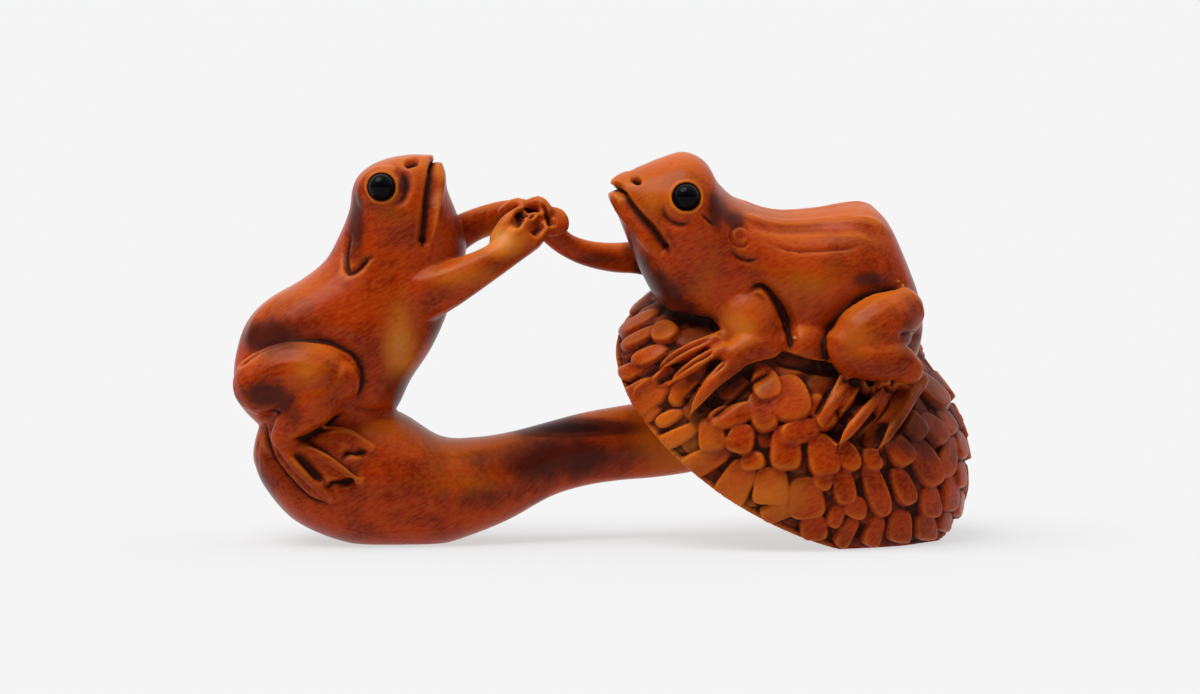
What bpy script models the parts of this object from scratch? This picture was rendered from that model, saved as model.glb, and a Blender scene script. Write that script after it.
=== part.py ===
"""Boxwood netsuke: two frogs holding hands, one on the bulb of a mushroom's stalk, one on its scaly cap.

The carving is one piece of wood, with four black beads let in as eyes. It is shaped in millimetres
from lofts, tubes and balls, fused by a voxel remesh, softened and then carved, and only the finished
meshes are brought to metres. X runs along the netsuke, Z is up, and the front looks along +Y.
"""

import math

import bmesh
import bpy
import numpy as np
from mathutils import Matrix, Vector

# Sizes of the whole, in millimetres
LENGTH = 56.0
SHARE = LENGTH / 56.0
METRES = 0.001
FRONT_SLOPE = math.tan(math.radians(4.0))

# Mushroom cap: half sizes of its oval, height of the dome, place and tilt
CAP_HALF_LENGTH = 14.9
CAP_HALF_WIDTH = 13.0
CAP_HEIGHT = 9.7
CAP_RIM_THICKNESS = 1.5
CAP_HOLLOW = 2.2
CAP_CENTRE = (14.15, 3.0, 9.1)
CAP_SLOPE = math.radians(30.4)
CAP_TILT_TO_FRONT = math.radians(30.0)

# Scales of the cap
SCALE_LENGTH = 3.3
SCALE_WIDTH = 2.7
SCALE_RISE = 0.85
SCALE_PITCH = 2.35
SCALE_EDGE = 0.6
SCALE_SEED = 11

# How far the scales' relief reaches over the dome, and the length in which a cut runs out
RELIEF_REACH = 0.45
CUT_RUN_OUT = 1.1

# Eye beads
BEAD_DIAMETER = 2.0
BEAD_CLEARANCE = 0.06
BEAD_PROUD = 0.75

# Pose of the frogs
RIGHT_FROG_ROLL = math.radians(14.0)
RIGHT_FROG_YAW = math.radians(7.0)

# Where the near eyes show in the front view, and the line that they are let in along
LEFT_EYE = (-16.85, 26.8)
RIGHT_EYE = (6.0, 26.0)
GAZE = (0.0, 1.0, -FRONT_SLOPE)

# Section of the bodies: 2 is an oval, more is squarer
SQUARENESS = 2.3

# Finish of the solid
VOXEL = 0.24
SOFTENING = 8
TRIANGLES = 7900

BOXWOOD = (0.38, 0.11, 0.025, 1.0)
BLACK_BEAD = (0.004, 0.004, 0.005, 1.0)


def seen(x, z, y):
    """The point that shows at (x, z) in the front view when it lies at depth y."""
    return (x * SHARE, y * SHARE, (z - FRONT_SLOPE * y) * SHARE)


def smooth_rows(rows, steps):
    """Rows of numbers with Catmull-Rom rows put between them."""
    rows = np.asarray(rows, float)
    before = np.vstack([2 * rows[0] - rows[1], rows, 2 * rows[-1] - rows[-2]])
    out = []
    for i in range(len(rows) - 1):
        p0, p1, p2, p3 = before[i : i + 4]
        for t in np.arange(steps) / steps:
            out.append(
                0.5
                * (
                    2 * p1
                    + (p2 - p0) * t
                    + (2 * p0 - 5 * p1 + 4 * p2 - p3) * t**2
                    + (3 * p1 - p0 - 3 * p2 + p3) * t**3
                )
            )
    out.append(rows[-1])
    return np.array(out)


def mesh_of(points, faces):
    """A mesh from points and faces, with its normals outward."""
    mesh = bpy.data.meshes.new("form")
    mesh.from_pydata([tuple(point) for point in points], [], faces)
    shape = bmesh.new()
    shape.from_mesh(mesh)
    bmesh.ops.recalc_face_normals(shape, faces=shape.faces)
    shape.to_mesh(mesh)
    shape.free()
    return mesh


def loft(sections, plane=None):
    """A body through sections given as (top x, top z, bottom x, bottom z, half depth, y).

    With a plane, the sections stand on that middle plane and lean with it.
    """
    sides, exponent = 32, SQUARENESS
    rings = []
    angles = 2 * math.pi * np.arange(sides) / sides
    along = np.sign(np.cos(angles)) * np.abs(np.cos(angles)) ** (2 / exponent)
    across = np.sign(np.sin(angles)) * np.abs(np.sin(angles)) ** (2 / exponent)
    for tx, tz, bx, bz, depth, y in smooth_rows(sections, 4):
        if plane:
            y += plane.middle((tx + bx) / 2, (tz + bz) / 2)
        top = np.array(seen(tx, tz, y))
        bottom = np.array(seen(bx, bz, y))
        reach = (top - bottom) / 2
        half = np.linalg.norm(reach)
        side = plane.across if plane else np.array((0.0, 1.0, 0.0))
        up = reach - (reach @ side) * side
        up = up / np.linalg.norm(up)
        centre = (top + bottom) / 2
        rings.append(
            centre
            + np.outer(along, up) * half
            + np.outer(across, side) * max(depth, 0.2) * SHARE
        )
    points = np.vstack(rings)
    faces = [tuple(range(sides))]
    for ring in range(len(rings) - 1):
        for i in range(sides):
            j = (i + 1) % sides
            a = ring * sides
            faces.append((a + i, a + j, a + sides + j, a + sides + i))
    faces.append(tuple(range(len(points) - 1, len(points) - 1 - sides, -1)))
    return mesh_of(points, faces)


def tube(stops):
    """A limb through stops given as (x, y, z, radius), as a curve with round ends."""
    rows = smooth_rows(stops, 4)
    for end, next_in in ((0, 1), (-1, -2)):
        way = rows[end, :3] - rows[next_in, :3]
        way = way / np.linalg.norm(way)
        radius = rows[end, 3]
        extra = [
            np.append(rows[end, :3] + way * radius * out, radius * width)
            for out, width in ((0.5, 0.86), (0.85, 0.5), (1.0, 0.12))
        ]
        rows = np.vstack([rows, extra] if end == -1 else [extra[::-1], rows])
    curve = bpy.data.curves.new("limb", "CURVE")
    curve.dimensions = "3D"
    curve.bevel_depth = 1.0
    curve.bevel_resolution = 4
    curve.use_fill_caps = True
    spline = curve.splines.new("POLY")
    spline.points.add(len(rows) - 1)
    for point, (x, y, z, radius) in zip(spline.points, rows):
        point.co = (x, y, z, 1.0)
        point.radius = radius
    holder = bpy.data.objects.new("limb", curve)
    bpy.context.scene.collection.objects.link(holder)
    bpy.context.view_layer.update()
    graph = bpy.context.evaluated_depsgraph_get()
    mesh = bpy.data.meshes.new_from_object(holder.evaluated_get(graph))
    bpy.data.objects.remove(holder)
    shape = bmesh.new()
    shape.from_mesh(mesh)
    bmesh.ops.remove_doubles(shape, verts=shape.verts, dist=1e-4)
    shape.to_mesh(mesh)
    shape.free()
    return mesh


def ball(centre, radii, turn=0.0):
    """An ellipsoid, turned about the line of sight by an angle in degrees."""
    mesh = bpy.data.meshes.new("ball")
    shape = bmesh.new()
    place = (
        Matrix.Translation(centre)
        @ Matrix.Rotation(math.radians(-turn), 4, "Y")
        @ Matrix.Diagonal((*[radius * SHARE for radius in radii], 1.0))
    )
    bmesh.ops.create_uvsphere(shape, u_segments=24, v_segments=16, radius=1.0, matrix=place)
    shape.to_mesh(mesh)
    shape.free()
    return mesh


class CapFrame:
    """The tilted frame of the mushroom cap: long axis, short axis and the axis of the dome."""

    def __init__(self):
        slope, tilt = CAP_SLOPE, CAP_TILT_TO_FRONT
        self.centre = np.array(CAP_CENTRE) * SHARE
        self.long = np.array((math.cos(slope), 0.0, -math.sin(slope)))
        self.up = np.array(
            (
                math.sin(slope) * math.cos(tilt),
                -math.sin(tilt),
                math.cos(slope) * math.cos(tilt),
            )
        )
        self.short = np.cross(self.up, self.long)
        self.axes = np.array([self.long, self.short, self.up])
        self.sizes = np.array((CAP_HALF_LENGTH, CAP_HALF_WIDTH, CAP_HEIGHT)) * SHARE

    def matrix(self):
        """From the cap's own frame to the netsuke's."""
        turn = Matrix([list(row) for row in self.axes.T]).to_4x4()
        return Matrix.Translation(Vector(self.centre)) @ turn

    def inside(self, points):
        """Points in the cap's own frame, as shares of its half sizes."""
        return (np.atleast_2d(points) - self.centre) @ self.axes.T / self.sizes

    def on_dome(self, along, across, lift):
        """The point of the dome at shares of its half length and half width, raised by lift."""
        up = math.sqrt(max(1.0 - along**2 - across**2, 0.0))
        return self.snap(self.centre + np.array((along, across, up)) * self.sizes @ self.axes, lift)

    def snap(self, point, lift):
        """The nearest point of the dome along its radius, raised by lift."""
        share = self.inside(point)[0]
        share = share / np.linalg.norm(share)
        normal = share / self.sizes
        normal = normal / np.linalg.norm(normal)
        return self.centre + (share * self.sizes + normal * lift * SHARE) @ self.axes


CAP = CapFrame()


def cap_mesh():
    """The cap as a turned profile: dome outside, thick rounded rim, hollow underside."""
    rim = CAP_RIM_THICKNESS / CAP_HEIGHT
    hollow = CAP_HOLLOW / CAP_HEIGHT
    dome = [
        (math.sin(angle), math.cos(angle) * (1.0 + 0.25 * rim) - 0.25 * rim)
        for angle in np.linspace(0.0, math.pi / 2, 16)
    ]
    lip = [(0.985, -0.55 * rim), (0.93, -0.7 * rim)]
    under = [
        (radius, -0.7 * rim + hollow * math.sqrt(max(1.0 - (radius / 0.93) ** 2, 0.0)))
        for radius in np.linspace(0.86, 0.0, 8)
    ]
    profile = dome + lip + under
    shape = bmesh.new()
    corners = [shape.verts.new((radius, 0.0, height)) for radius, height in profile]
    for first, second in zip(corners, corners[1:]):
        shape.edges.new((first, second))
    bmesh.ops.spin(
        shape,
        geom=shape.verts[:] + shape.edges[:],
        axis=(0, 0, 1),
        cent=(0, 0, 0),
        angle=2 * math.pi,
        steps=72,
        use_merge=True,
    )
    bmesh.ops.remove_doubles(shape, verts=shape.verts, dist=1e-4)
    bmesh.ops.recalc_face_normals(shape, faces=shape.faces)
    mesh = bpy.data.meshes.new("cap")
    shape.to_mesh(mesh)
    shape.free()
    mesh.transform(CAP.matrix() @ Matrix.Diagonal((*CAP.sizes, 1.0)))
    return mesh


class Side:
    """A frog's middle plane: it mirrors points of the near side to the far side."""

    def __init__(self, x, z, roll, yaw):
        self.point = np.array(seen(x, z, 0.0))
        level = math.cos(roll)
        self.across = np.array(
            (-math.sin(yaw) * level, math.cos(yaw) * level, math.sin(roll))
        )

    def middle(self, x, z):
        """The y of the middle plane at (x, z)."""
        gap = (np.array((x, 0.0, z)) * SHARE - self.point) @ self.across
        return -gap / self.across[1] / SHARE

    def offset(self, points):
        """Distance from the middle plane, minus on the near side."""
        return (points - self.point) @ self.across

    def mirror(self, points):
        """The points on the other side of the middle plane."""
        points = np.asarray(points, float)
        return points - 2 * np.multiply.outer(self.offset(points), self.across)

    def near(self, points):
        """Each point, or its mirror point if it lies on the far side."""
        far = self.offset(points) > 0
        out = points.copy()
        out[far] = self.mirror(points[far])
        return out


LEFT = Side(-17.0, 20.0, 0.0, 0.0)
RIGHT = Side(14.0, 19.0, RIGHT_FROG_ROLL, RIGHT_FROG_YAW)

# Sections of the bodies: (top x, top z, bottom x, bottom z, half depth, y), back side first
LEFT_BODY = [
    (-26.0, 8.6, -17.0, 8.6, 4.6, 0.0),
    (-27.7, 10.4, -15.7, 10.4, 5.2, 0.0),
    (-28.2, 12.3, -14.8, 12.3, 5.7, 0.0),
    (-28.0, 14.4, -13.4, 14.4, 5.8, 0.0),
    (-27.2, 16.7, -12.4, 16.4, 5.6, 0.0),
    (-25.6, 18.4, -11.7, 18.3, 5.2, 0.0),
    (-23.2, 19.8, -11.1, 20.1, 4.8, 0.0),
    (-21.3, 21.3, -10.6, 21.9, 4.5, 0.0),
    (-20.2, 23.2, -10.7, 23.3, 4.5, 0.0),
    (-19.4, 25.2, -11.4, 25.2, 4.6, 0.0),
    (-19.2, 26.7, -12.0, 26.7, 4.4, 0.0),
    (-18.7, 27.8, -12.1, 27.7, 3.9, 0.0),
    (-17.7, 28.6, -12.3, 28.5, 3.2, 0.0),
    (-16.4, 29.1, -12.6, 29.0, 2.4, 0.0),
    (-15.0, 29.35, -12.9, 29.3, 1.5, 0.0),
]

RIGHT_BODY = [
    (0.4, 27.4, 0.2, 25.9, 0.9, 0.0),
    (1.2, 27.8, 0.9, 24.7, 2.0, 0.0),
    (2.6, 28.3, 1.8, 22.5, 3.2, 0.0),
    (4.2, 29.0, 2.9, 20.0, 4.2, 0.0),
    (5.9, 29.5, 4.2, 18.0, 4.8, 0.0),
    (7.4, 28.8, 6.4, 16.7, 5.0, 0.0),
    (8.4, 27.2, 8.3, 15.3, 5.1, 0.0),
    (10.0, 25.9, 10.3, 14.2, 5.3, 0.0),
    (12.6, 25.1, 12.8, 13.0, 5.7, 0.0),
    (15.5, 25.2, 15.5, 12.4, 6.0, 0.0),
    (18.1, 25.6, 18.5, 11.9, 6.0, 0.0),
    (19.9, 25.5, 20.8, 11.9, 5.6, 0.0),
    (21.2, 24.4, 22.7, 12.6, 4.8, 0.0),
    (22.3, 22.2, 23.6, 14.5, 3.8, 0.0),
    (23.3, 19.8, 23.9, 16.1, 2.5, 0.0),
]

STALK = [
    (-26.6, 7.7, -26.7, 6.2, 2.0, 0.0),
    (-26.1, 8.9, -25.9, 4.3, 4.0, 0.0),
    (-24.3, 9.6, -23.9, 1.9, 5.3, 0.0),
    (-21.7, 10.0, -21.3, 0.5, 6.0, 0.0),
    (-18.6, 10.4, -18.3, -0.3, 6.3, 0.0),
    (-15.6, 9.8, -15.6, -0.4, 6.0, 0.0),
    (-12.6, 8.0, -12.6, -0.2, 5.2, 0.0),
    (-9.9, 7.9, -9.7, 0.7, 4.5, 0.3),
    (-7.3, 8.3, -7.1, 1.8, 3.8, 0.8),
    (-4.6, 9.0, -4.2, 3.4, 3.2, 1.5),
    (-2.0, 9.7, -1.6, 4.2, 2.9, 2.3),
    (0.7, 10.2, 1.1, 4.6, 2.75, 3.2),
    (3.3, 10.6, 3.7, 4.8, 2.8, 4.0),
    (6.4, 11.2, 7.0, 5.3, 2.9, 4.7),
    (9.0, 12.0, 10.3, 6.3, 3.0, 5.0),
    (11.2, 13.4, 13.8, 8.1, 3.1, 4.6),
    (12.6, 15.0, 16.0, 10.3, 3.0, 3.6),
]


def both_sides(side, stops):
    """A limb's tube and its mirror image."""
    stops = np.asarray(stops, float)
    far = stops.copy()
    far[:, :3] = side.mirror(stops[:, :3])
    return [tube(stops), tube(far)]


def stops_of(rows):
    """Stops from rows of (x, z, y, radius) as the front view shows them."""
    return [(*seen(x, z, y), radius * SHARE) for x, z, y, radius in rows]


def bulb_front(x, z, lift):
    """The point of the bulb that shows at (x, z) in the front view, raised by lift."""
    rows = np.array(STALK)
    top = np.interp(x, rows[:, 0], rows[:, 1])
    bottom = np.interp(x, rows[:, 2], rows[:, 3])
    depth = np.interp(x, rows[:, 0], rows[:, 4])
    middle, half = (top + bottom) / 2, (top - bottom) / 2
    height = z
    for _ in range(3):
        share = min(abs(height - middle) / half, 0.98)
        y = -depth * (1 - share**SQUARENESS) ** (1 / SQUARENESS) - lift
        height = z - FRONT_SLOPE * y
    return seen(x, z, y)


def left_frog():
    """The frog that squats upright on the bulb, both forelegs stretched to the joined hands."""
    forms = [loft(LEFT_BODY)]
    thigh = stops_of([
        (-25.6, 12.0, -4.8, 2.5),
        (-23.2, 12.8, -5.4, 2.6),
        (-21.2, 12.6, -5.8, 2.3),
        (-20.1, 12.2, -6.0, 1.7),
    ])
    shin = stops_of([
        (-20.9, 12.0, -6.0, 1.8),
        (-21.9, 10.7, -6.1, 1.9),
        (-23.3, 9.2, -6.0, 1.5),
        (-24.2, 8.0, -5.8, 1.0),
    ])
    forms += both_sides(LEFT, thigh) + both_sides(LEFT, shin)
    heel = (*bulb_front(-24.0, 7.6, 0.6), 0.9 * SHARE)
    digits = [
        ((-22.9, 5.8, 0.6, 0.62), (-20.7, 3.5, 0.15, 0.4)),
        ((-20.9, 6.5, 0.6, 0.62), (-18.4, 4.7, 0.15, 0.4)),
        ((-19.9, 8.2, 0.6, 0.62), (-17.6, 7.1, 0.15, 0.4)),
        ((-22.2, 6.4, -0.05, 0.95), (-20.5, 4.7, -0.25, 0.8)),
        ((-20.6, 7.3, -0.05, 0.95), (-18.9, 6.5, -0.25, 0.8)),
    ]
    for digit in digits:
        stops = [heel] + [(*bulb_front(*stop[:3]), stop[3] * SHARE) for stop in digit]
        forms += both_sides(LEFT, stops)
    near_arm = [
        (-15.6, 18.4, -2.0, 2.4),
        (-13.8, 18.9, -2.8, 2.3),
        (-12.0, 19.5, -3.3, 1.9),
        (-10.2, 20.3, -3.3, 1.5),
        (-8.3, 21.4, -2.8, 1.25),
        (-6.9, 22.5, -2.1, 1.3),
        (-5.8, 23.3, -1.6, 1.3),
    ]
    far_arm = [
        (-14.2, 21.0, 3.4, 2.0),
        (-12.2, 22.8, 3.6, 1.5),
        (-10.2, 24.0, 3.0, 1.25),
        (-8.0, 24.7, 2.0, 1.2),
        (-6.4, 25.0, 1.1, 1.05),
    ]
    forms += [tube(stops_of(near_arm)), tube(stops_of(far_arm))]
    brow = np.array(seen(-16.7, 26.4, -3.0))
    for centre in (brow, LEFT.mirror(brow)):
        forms.append(ball(centre, (2.1, 1.6, 2.1)))
    return forms


def hands():
    """The cluster of joined hands between the frogs: three palms and their fingers."""
    forms = [
        ball(seen(-5.9, 23.5, -1.3), (1.5, 0.8, 1.3), 45),
        ball(seen(-4.8, 24.2, 0.1), (1.4, 1.0, 1.1), 20),
        ball(seen(-6.3, 24.7, 0.6), (1.4, 0.8, 0.8), 0),
    ]
    fingers = [
        [(-8.1, 22.9, -2.2, 0.75), (-7.4, 24.2, -2.0, 0.6), (-6.5, 25.0, -1.5, 0.45)],
        [(-6.9, 23.2, -2.8, 0.6), (-6.1, 24.1, -2.3, 0.5), (-5.4, 24.6, -1.7, 0.42)],
        [(-5.6, 22.7, -2.4, 0.65), (-4.7, 23.6, -2.0, 0.55), (-4.0, 24.1, -1.4, 0.45)],
        [(-7.6, 24.9, 0.4, 0.7), (-6.8, 25.5, -0.3, 0.6), (-6.2, 25.5, -0.8, 0.5)],
        [
            (-6.2, 25.2, 0.2, 0.6),
            (-5.1, 25.7, -0.6, 0.55),
            (-4.5, 25.0, -1.2, 0.5),
            (-5.0, 24.5, -1.4, 0.4),
        ],
        [
            (-4.6, 24.9, -0.2, 0.6),
            (-3.6, 24.7, -0.7, 0.6),
            (-3.3, 23.9, -1.1, 0.55),
            (-4.1, 23.5, -1.3, 0.45),
        ],
    ]
    return forms + [tube(stops_of(finger)) for finger in fingers]


def right_frog():
    """The frog that sits on the cap, one foreleg down, the far one stretched to the hands."""
    forms = [loft(RIGHT_BODY, RIGHT)]
    thigh = stops_of([
        (22.0, 17.4, -4.0, 2.0),
        (20.8, 16.5, -5.0, 2.5),
        (19.2, 15.5, -5.8, 2.4),
        (18.2, 14.8, -6.2, 1.9),
    ])
    shin = stops_of([
        (18.4, 14.2, -6.4, 1.7),
        (20.0, 13.9, -6.7, 1.7),
        (21.6, 13.7, -6.6, 1.5),
        (22.6, 13.1, -6.3, 1.2),
    ])
    forms += both_sides(RIGHT, thigh) + both_sides(RIGHT, shin)
    forms.append(tube(stops_of([
        (9.4, 18.4, -3.2, 2.2),
        (10.6, 17.0, -4.4, 2.5),
        (11.4, 15.6, -5.2, 2.2),
        (11.8, 14.7, -5.7, 1.7),
    ])))
    forearm = stops_of([(12.0, 14.9, -5.6, 1.6), (10.8, 14.6, -6.2, 1.6)])
    forms.append(tube(forearm + [(*CAP.on_dome(-0.44, -0.56, 0.4), 1.15 * SHARE)]))
    fingers = [
        ((-0.54, -0.47, 0.4, 0.6), (-0.67, -0.57, 0.4, 0.5), (-0.776, -0.628, 0.0, 0.34)),
        ((-0.49, -0.54, 0.5, 0.65), (-0.59, -0.64, 0.45, 0.5), (-0.655, -0.699, 0.0, 0.34)),
        ((-0.42, -0.60, 0.55, 0.75), (-0.474, -0.73, 0.5, 0.55), (-0.49, -0.832, 0.0, 0.36)),
        ((-0.53, -0.52, -0.1, 0.7), (-0.62, -0.60, -0.3, 0.7), (-0.69, -0.66, -0.55, 0.6)),
        ((-0.46, -0.59, -0.1, 0.75), (-0.53, -0.68, -0.3, 0.75), (-0.57, -0.76, -0.55, 0.6)),
    ]
    for digit in fingers:
        forms.append(tube([(*CAP.on_dome(*stop[:3]), stop[3] * SHARE) for stop in digit]))
    toes = [
        ((0.095, -0.44, 0.6, 0.65), (0.089, -0.603, 0.5, 0.52), (0.084, -0.70, 0.05, 0.34)),
        ((0.265, -0.30, 0.6, 0.65), (0.238, -0.58, 0.5, 0.52), (0.217, -0.735, 0.05, 0.34)),
        ((0.43, -0.05, 0.6, 0.65), (0.418, -0.387, 0.5, 0.52), (0.407, -0.61, 0.05, 0.34)),
        ((0.17, -0.40, 0.0, 0.8), (0.173, -0.55, -0.2, 0.8), (0.165, -0.66, -0.5, 0.65)),
        ((0.35, -0.20, 0.0, 0.8), (0.343, -0.42, -0.2, 0.8), (0.322, -0.57, -0.5, 0.65)),
    ]
    for digit in toes:
        near = [(*CAP.on_dome(*stop[:3]), stop[3] * SHARE) for stop in digit]
        far = [
            (*CAP.snap(RIGHT.mirror(row[:3]), stop[2]), row[3]) for row, stop in zip(near, digit)
        ]
        forms += [tube(near), tube(far)]
    far_arm = [
        (6.8, 20.6, 3.2, 2.0),
        (4.6, 21.3, 3.8, 1.6),
        (2.6, 21.6, 3.2, 1.3),
        (0.6, 21.6, 2.4, 1.15),
        (-1.4, 21.9, 1.5, 1.0),
        (-3.1, 22.6, 0.8, 0.95),
        (-4.2, 23.6, 0.3, 1.0),
    ]
    forms.append(tube(stops_of(far_arm)))
    brow = np.array(seen(6.2, 25.8, -3.2))
    for centre in (brow, RIGHT.mirror(brow)):
        forms.append(ball(centre, (2.2, 1.7, 2.1)))
    return forms


def joined(forms):
    """One object from all the forms."""
    shape = bmesh.new()
    for form in forms:
        shape.from_mesh(form)
        bpy.data.meshes.remove(form)
    mesh = bpy.data.meshes.new("rough")
    shape.to_mesh(mesh)
    shape.free()
    rough = bpy.data.objects.new("rough", mesh)
    bpy.context.scene.collection.objects.link(rough)
    return rough


def applied(item):
    """The object's mesh with its modifiers, in place of the object."""
    bpy.context.view_layer.update()
    graph = bpy.context.evaluated_depsgraph_get()
    mesh = bpy.data.meshes.new_from_object(item.evaluated_get(graph))
    old = item.data
    item.modifiers.clear()
    item.data = mesh
    bpy.data.meshes.remove(old)


def fused(rough):
    """Fuses the overlapping forms into one skin and softens where they meet."""
    remesh = rough.modifiers.new("fuse", "REMESH")
    remesh.mode = "VOXEL"
    remesh.voxel_size = VOXEL * SHARE
    soften = rough.modifiers.new("soften", "SMOOTH")
    soften.factor = 0.5
    soften.iterations = SOFTENING
    applied(rough)


def arrays(mesh):
    """Points and normals of a mesh."""
    points = np.empty(len(mesh.vertices) * 3)
    normals = np.empty(len(mesh.vertices) * 3)
    mesh.vertices.foreach_get("co", points)
    mesh.vertices.foreach_get("normal", normals)
    return points.reshape(-1, 3), normals.reshape(-1, 3)


def cut_profile(points, path, half_width, depth, step):
    """Depth of a cut along a path in the front view.

    A step makes the left of the path's direction, or the right if it is below zero, slope down
    to the cut over that width. The cut runs out at its ends.
    """
    flat = np.column_stack([points[:, 0], points[:, 2] + FRONT_SLOPE * points[:, 1]]) / SHARE
    path = smooth_rows(path, 4)
    best = np.full(len(flat), 1e9)
    left = np.zeros(len(flat), bool)
    at = np.zeros(len(flat))
    travelled = 0.0
    for a, b in zip(path, path[1:]):
        run = b - a
        length = np.linalg.norm(run)
        share = np.clip((flat - a) @ run / length**2, 0, 1)
        gap = flat - a - share[:, None] * run
        away = np.linalg.norm(gap, axis=1)
        closer = away < best
        best[closer] = away[closer]
        left[closer] = (run[0] * gap[:, 1] - run[1] * gap[:, 0])[closer] > 0
        at[closer] = (travelled + share * length)[closer]
        travelled += length
    sink = np.clip(1 - best / half_width, 0, 1) ** 0.8
    if step:
        slope = np.clip(1 - best / abs(step), 0, 1) * (left == (step > 0))
        sink = np.maximum(sink, slope**1.6)
    if travelled > CUT_RUN_OUT:
        ends = np.minimum(at, travelled - at) / min(CUT_RUN_OUT, travelled / 3)
        sink = sink * np.clip(ends, 0, 1) ** 0.7
    return sink * depth * SHARE


# Cuts of the near sides, mirrored to the far sides: (path in the front view, half width, depth, step)
LEFT_CUTS = [
    ([(-12.75, 29.6), (-12.85, 28.5), (-13.25, 26.1), (-13.6, 23.5), (-13.72, 22.5)], 0.4, 0.6, 0.0),
    ([(-12.4, 28.7), (-12.45, 26.8), (-12.7, 24.6), (-13.0, 22.9)], 0.35, -0.16, 0.0),
    ([(-15.9, 28.1), (-15.1, 27.6), (-14.95, 26.7), (-15.35, 25.8), (-16.2, 25.4)], 0.5, 0.3, 0.0),
    ([(-14.85, 28.6), (-14.35, 28.75)], 0.38, 0.5, 0.0),
    ([(-19.57, 21.4), (-19.3, 20.4), (-18.56, 20.7), (-17.93, 21.4), (-17.25, 21.66)], 0.35, 0.32, 0.0),
    (
        [
            (-27.7, 13.3), (-26.1, 14.5), (-24.2, 15.25), (-22.3, 15.4), (-20.5, 15.1),
            (-18.9, 14.1), (-18.2, 12.9), (-18.3, 11.6), (-18.8, 10.5),
        ],
        0.3, 0.45, 1.4,
    ),
    ([(-26.2, 11.9), (-25.0, 11.6), (-23.8, 11.4)], 1.0, 0.3, 0.0),
    ([(-19.6, 9.9), (-20.9, 8.9), (-22.3, 8.0), (-23.5, 7.7)], 0.3, 0.45, 0.9),
    (
        [(-25.75, 9.0), (-25.5, 8.0), (-24.9, 6.3), (-23.8, 4.9), (-22.3, 3.4), (-20.6, 2.8)],
        0.3, 0.4, -0.9,
    ),
    ([(-23.3, 6.8), (-22.2, 5.7), (-21.1, 4.7)], 0.35, 0.35, 0.0),
    ([(-21.0, 4.15), (-20.3, 4.5), (-19.0, 4.55)], 0.35, 0.4, 0.0),
    ([(-19.7, 6.4), (-19.1, 6.85), (-18.1, 6.75)], 0.35, 0.4, 0.0),
]

RIGHT_CUTS = [
    ([(0.1, 26.75), (0.78, 26.7), (2.0, 25.0), (3.33, 23.55), (4.47, 21.95)], 0.4, 0.6, 0.0),
    ([(2.15, 27.36), (2.32, 27.26)], 0.36, 0.4, 0.0),
    ([(4.25, 25.8), (4.35, 24.6), (5.3, 23.95), (6.7, 24.1)], 0.46, 0.3, 0.0),
    ([(6.95, 24.9), (7.6, 24.3), (8.3, 23.7)], 0.3, 0.2, 0.0),
    ([(9.1, 22.4), (9.9, 21.5), (11.05, 21.3), (11.75, 21.9)], 0.35, 0.28, -0.7),
    (
        [(10.0, 24.75), (12.0, 24.45), (14.3, 24.3), (17.6, 24.6), (19.8, 24.4), (21.4, 23.4)],
        0.5, -0.24, 0.0,
    ),
    ([(12.4, 22.4), (13.8, 22.05), (15.2, 21.95), (18.9, 22.2)], 0.35, 0.14, 0.0),
    (
        [(10.6, 19.1), (11.7, 19.3), (12.7, 18.3), (13.5, 16.8), (13.76, 15.2), (13.8, 13.4)],
        0.35, 0.75, 0.85,
    ),
    (
        [
            (22.6, 19.3), (20.7, 19.0), (18.9, 18.35), (17.4, 16.9), (16.4, 15.6),
            (16.3, 14.2), (17.2, 12.7), (18.8, 12.1), (21.0, 11.7), (22.8, 11.6),
        ],
        0.3, 0.5, -1.4,
    ),
    ([(23.8, 15.6), (22.6, 15.7), (21.8, 15.6)], 0.45, 0.4, 0.0),
]

# Channels between the digits of the right frog's near hand and foot, and the crease over its wrist
CHANNELS = [
    ([(7.75, 14.55), (6.9, 14.05), (5.9, 13.4), (4.6, 12.6), (3.6, 11.8)], 0.42, 0.42, 0.0),
    ([(8.55, 13.75), (7.7, 13.1), (6.8, 12.3), (5.9, 11.2), (5.5, 10.4)], 0.5, 0.5, 0.0),
    ([(12.6, 13.2), (10.8, 12.1), (9.2, 10.6), (7.4, 9.1)], 0.3, 0.4, 0.7),
    ([(19.9, 11.9), (18.8, 10.6), (17.6, 9.3), (16.7, 8.1)], 0.5, 0.5, 0.0),
    ([(22.4, 11.9), (21.3, 10.5), (20.2, 9.0), (19.2, 7.5)], 0.5, 0.5, 0.0),
]


def cut(points, normals, side, cuts, where, both=True):
    """Sinks cuts into the skin, on both sides of a frog or on its near side alone."""
    near = side.near(points) if both else points
    offset = side.offset(points)
    outward = np.clip((normals @ side.across) * np.sign(offset) * 4 - 0.4, 0, 1) * where
    if not both:
        outward = outward * (offset < 0)
    for path, half_width, depth, step in cuts:
        sink = cut_profile(near, path, half_width, depth, step) * outward
        points = points - normals * sink[:, None]
    return points


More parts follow.
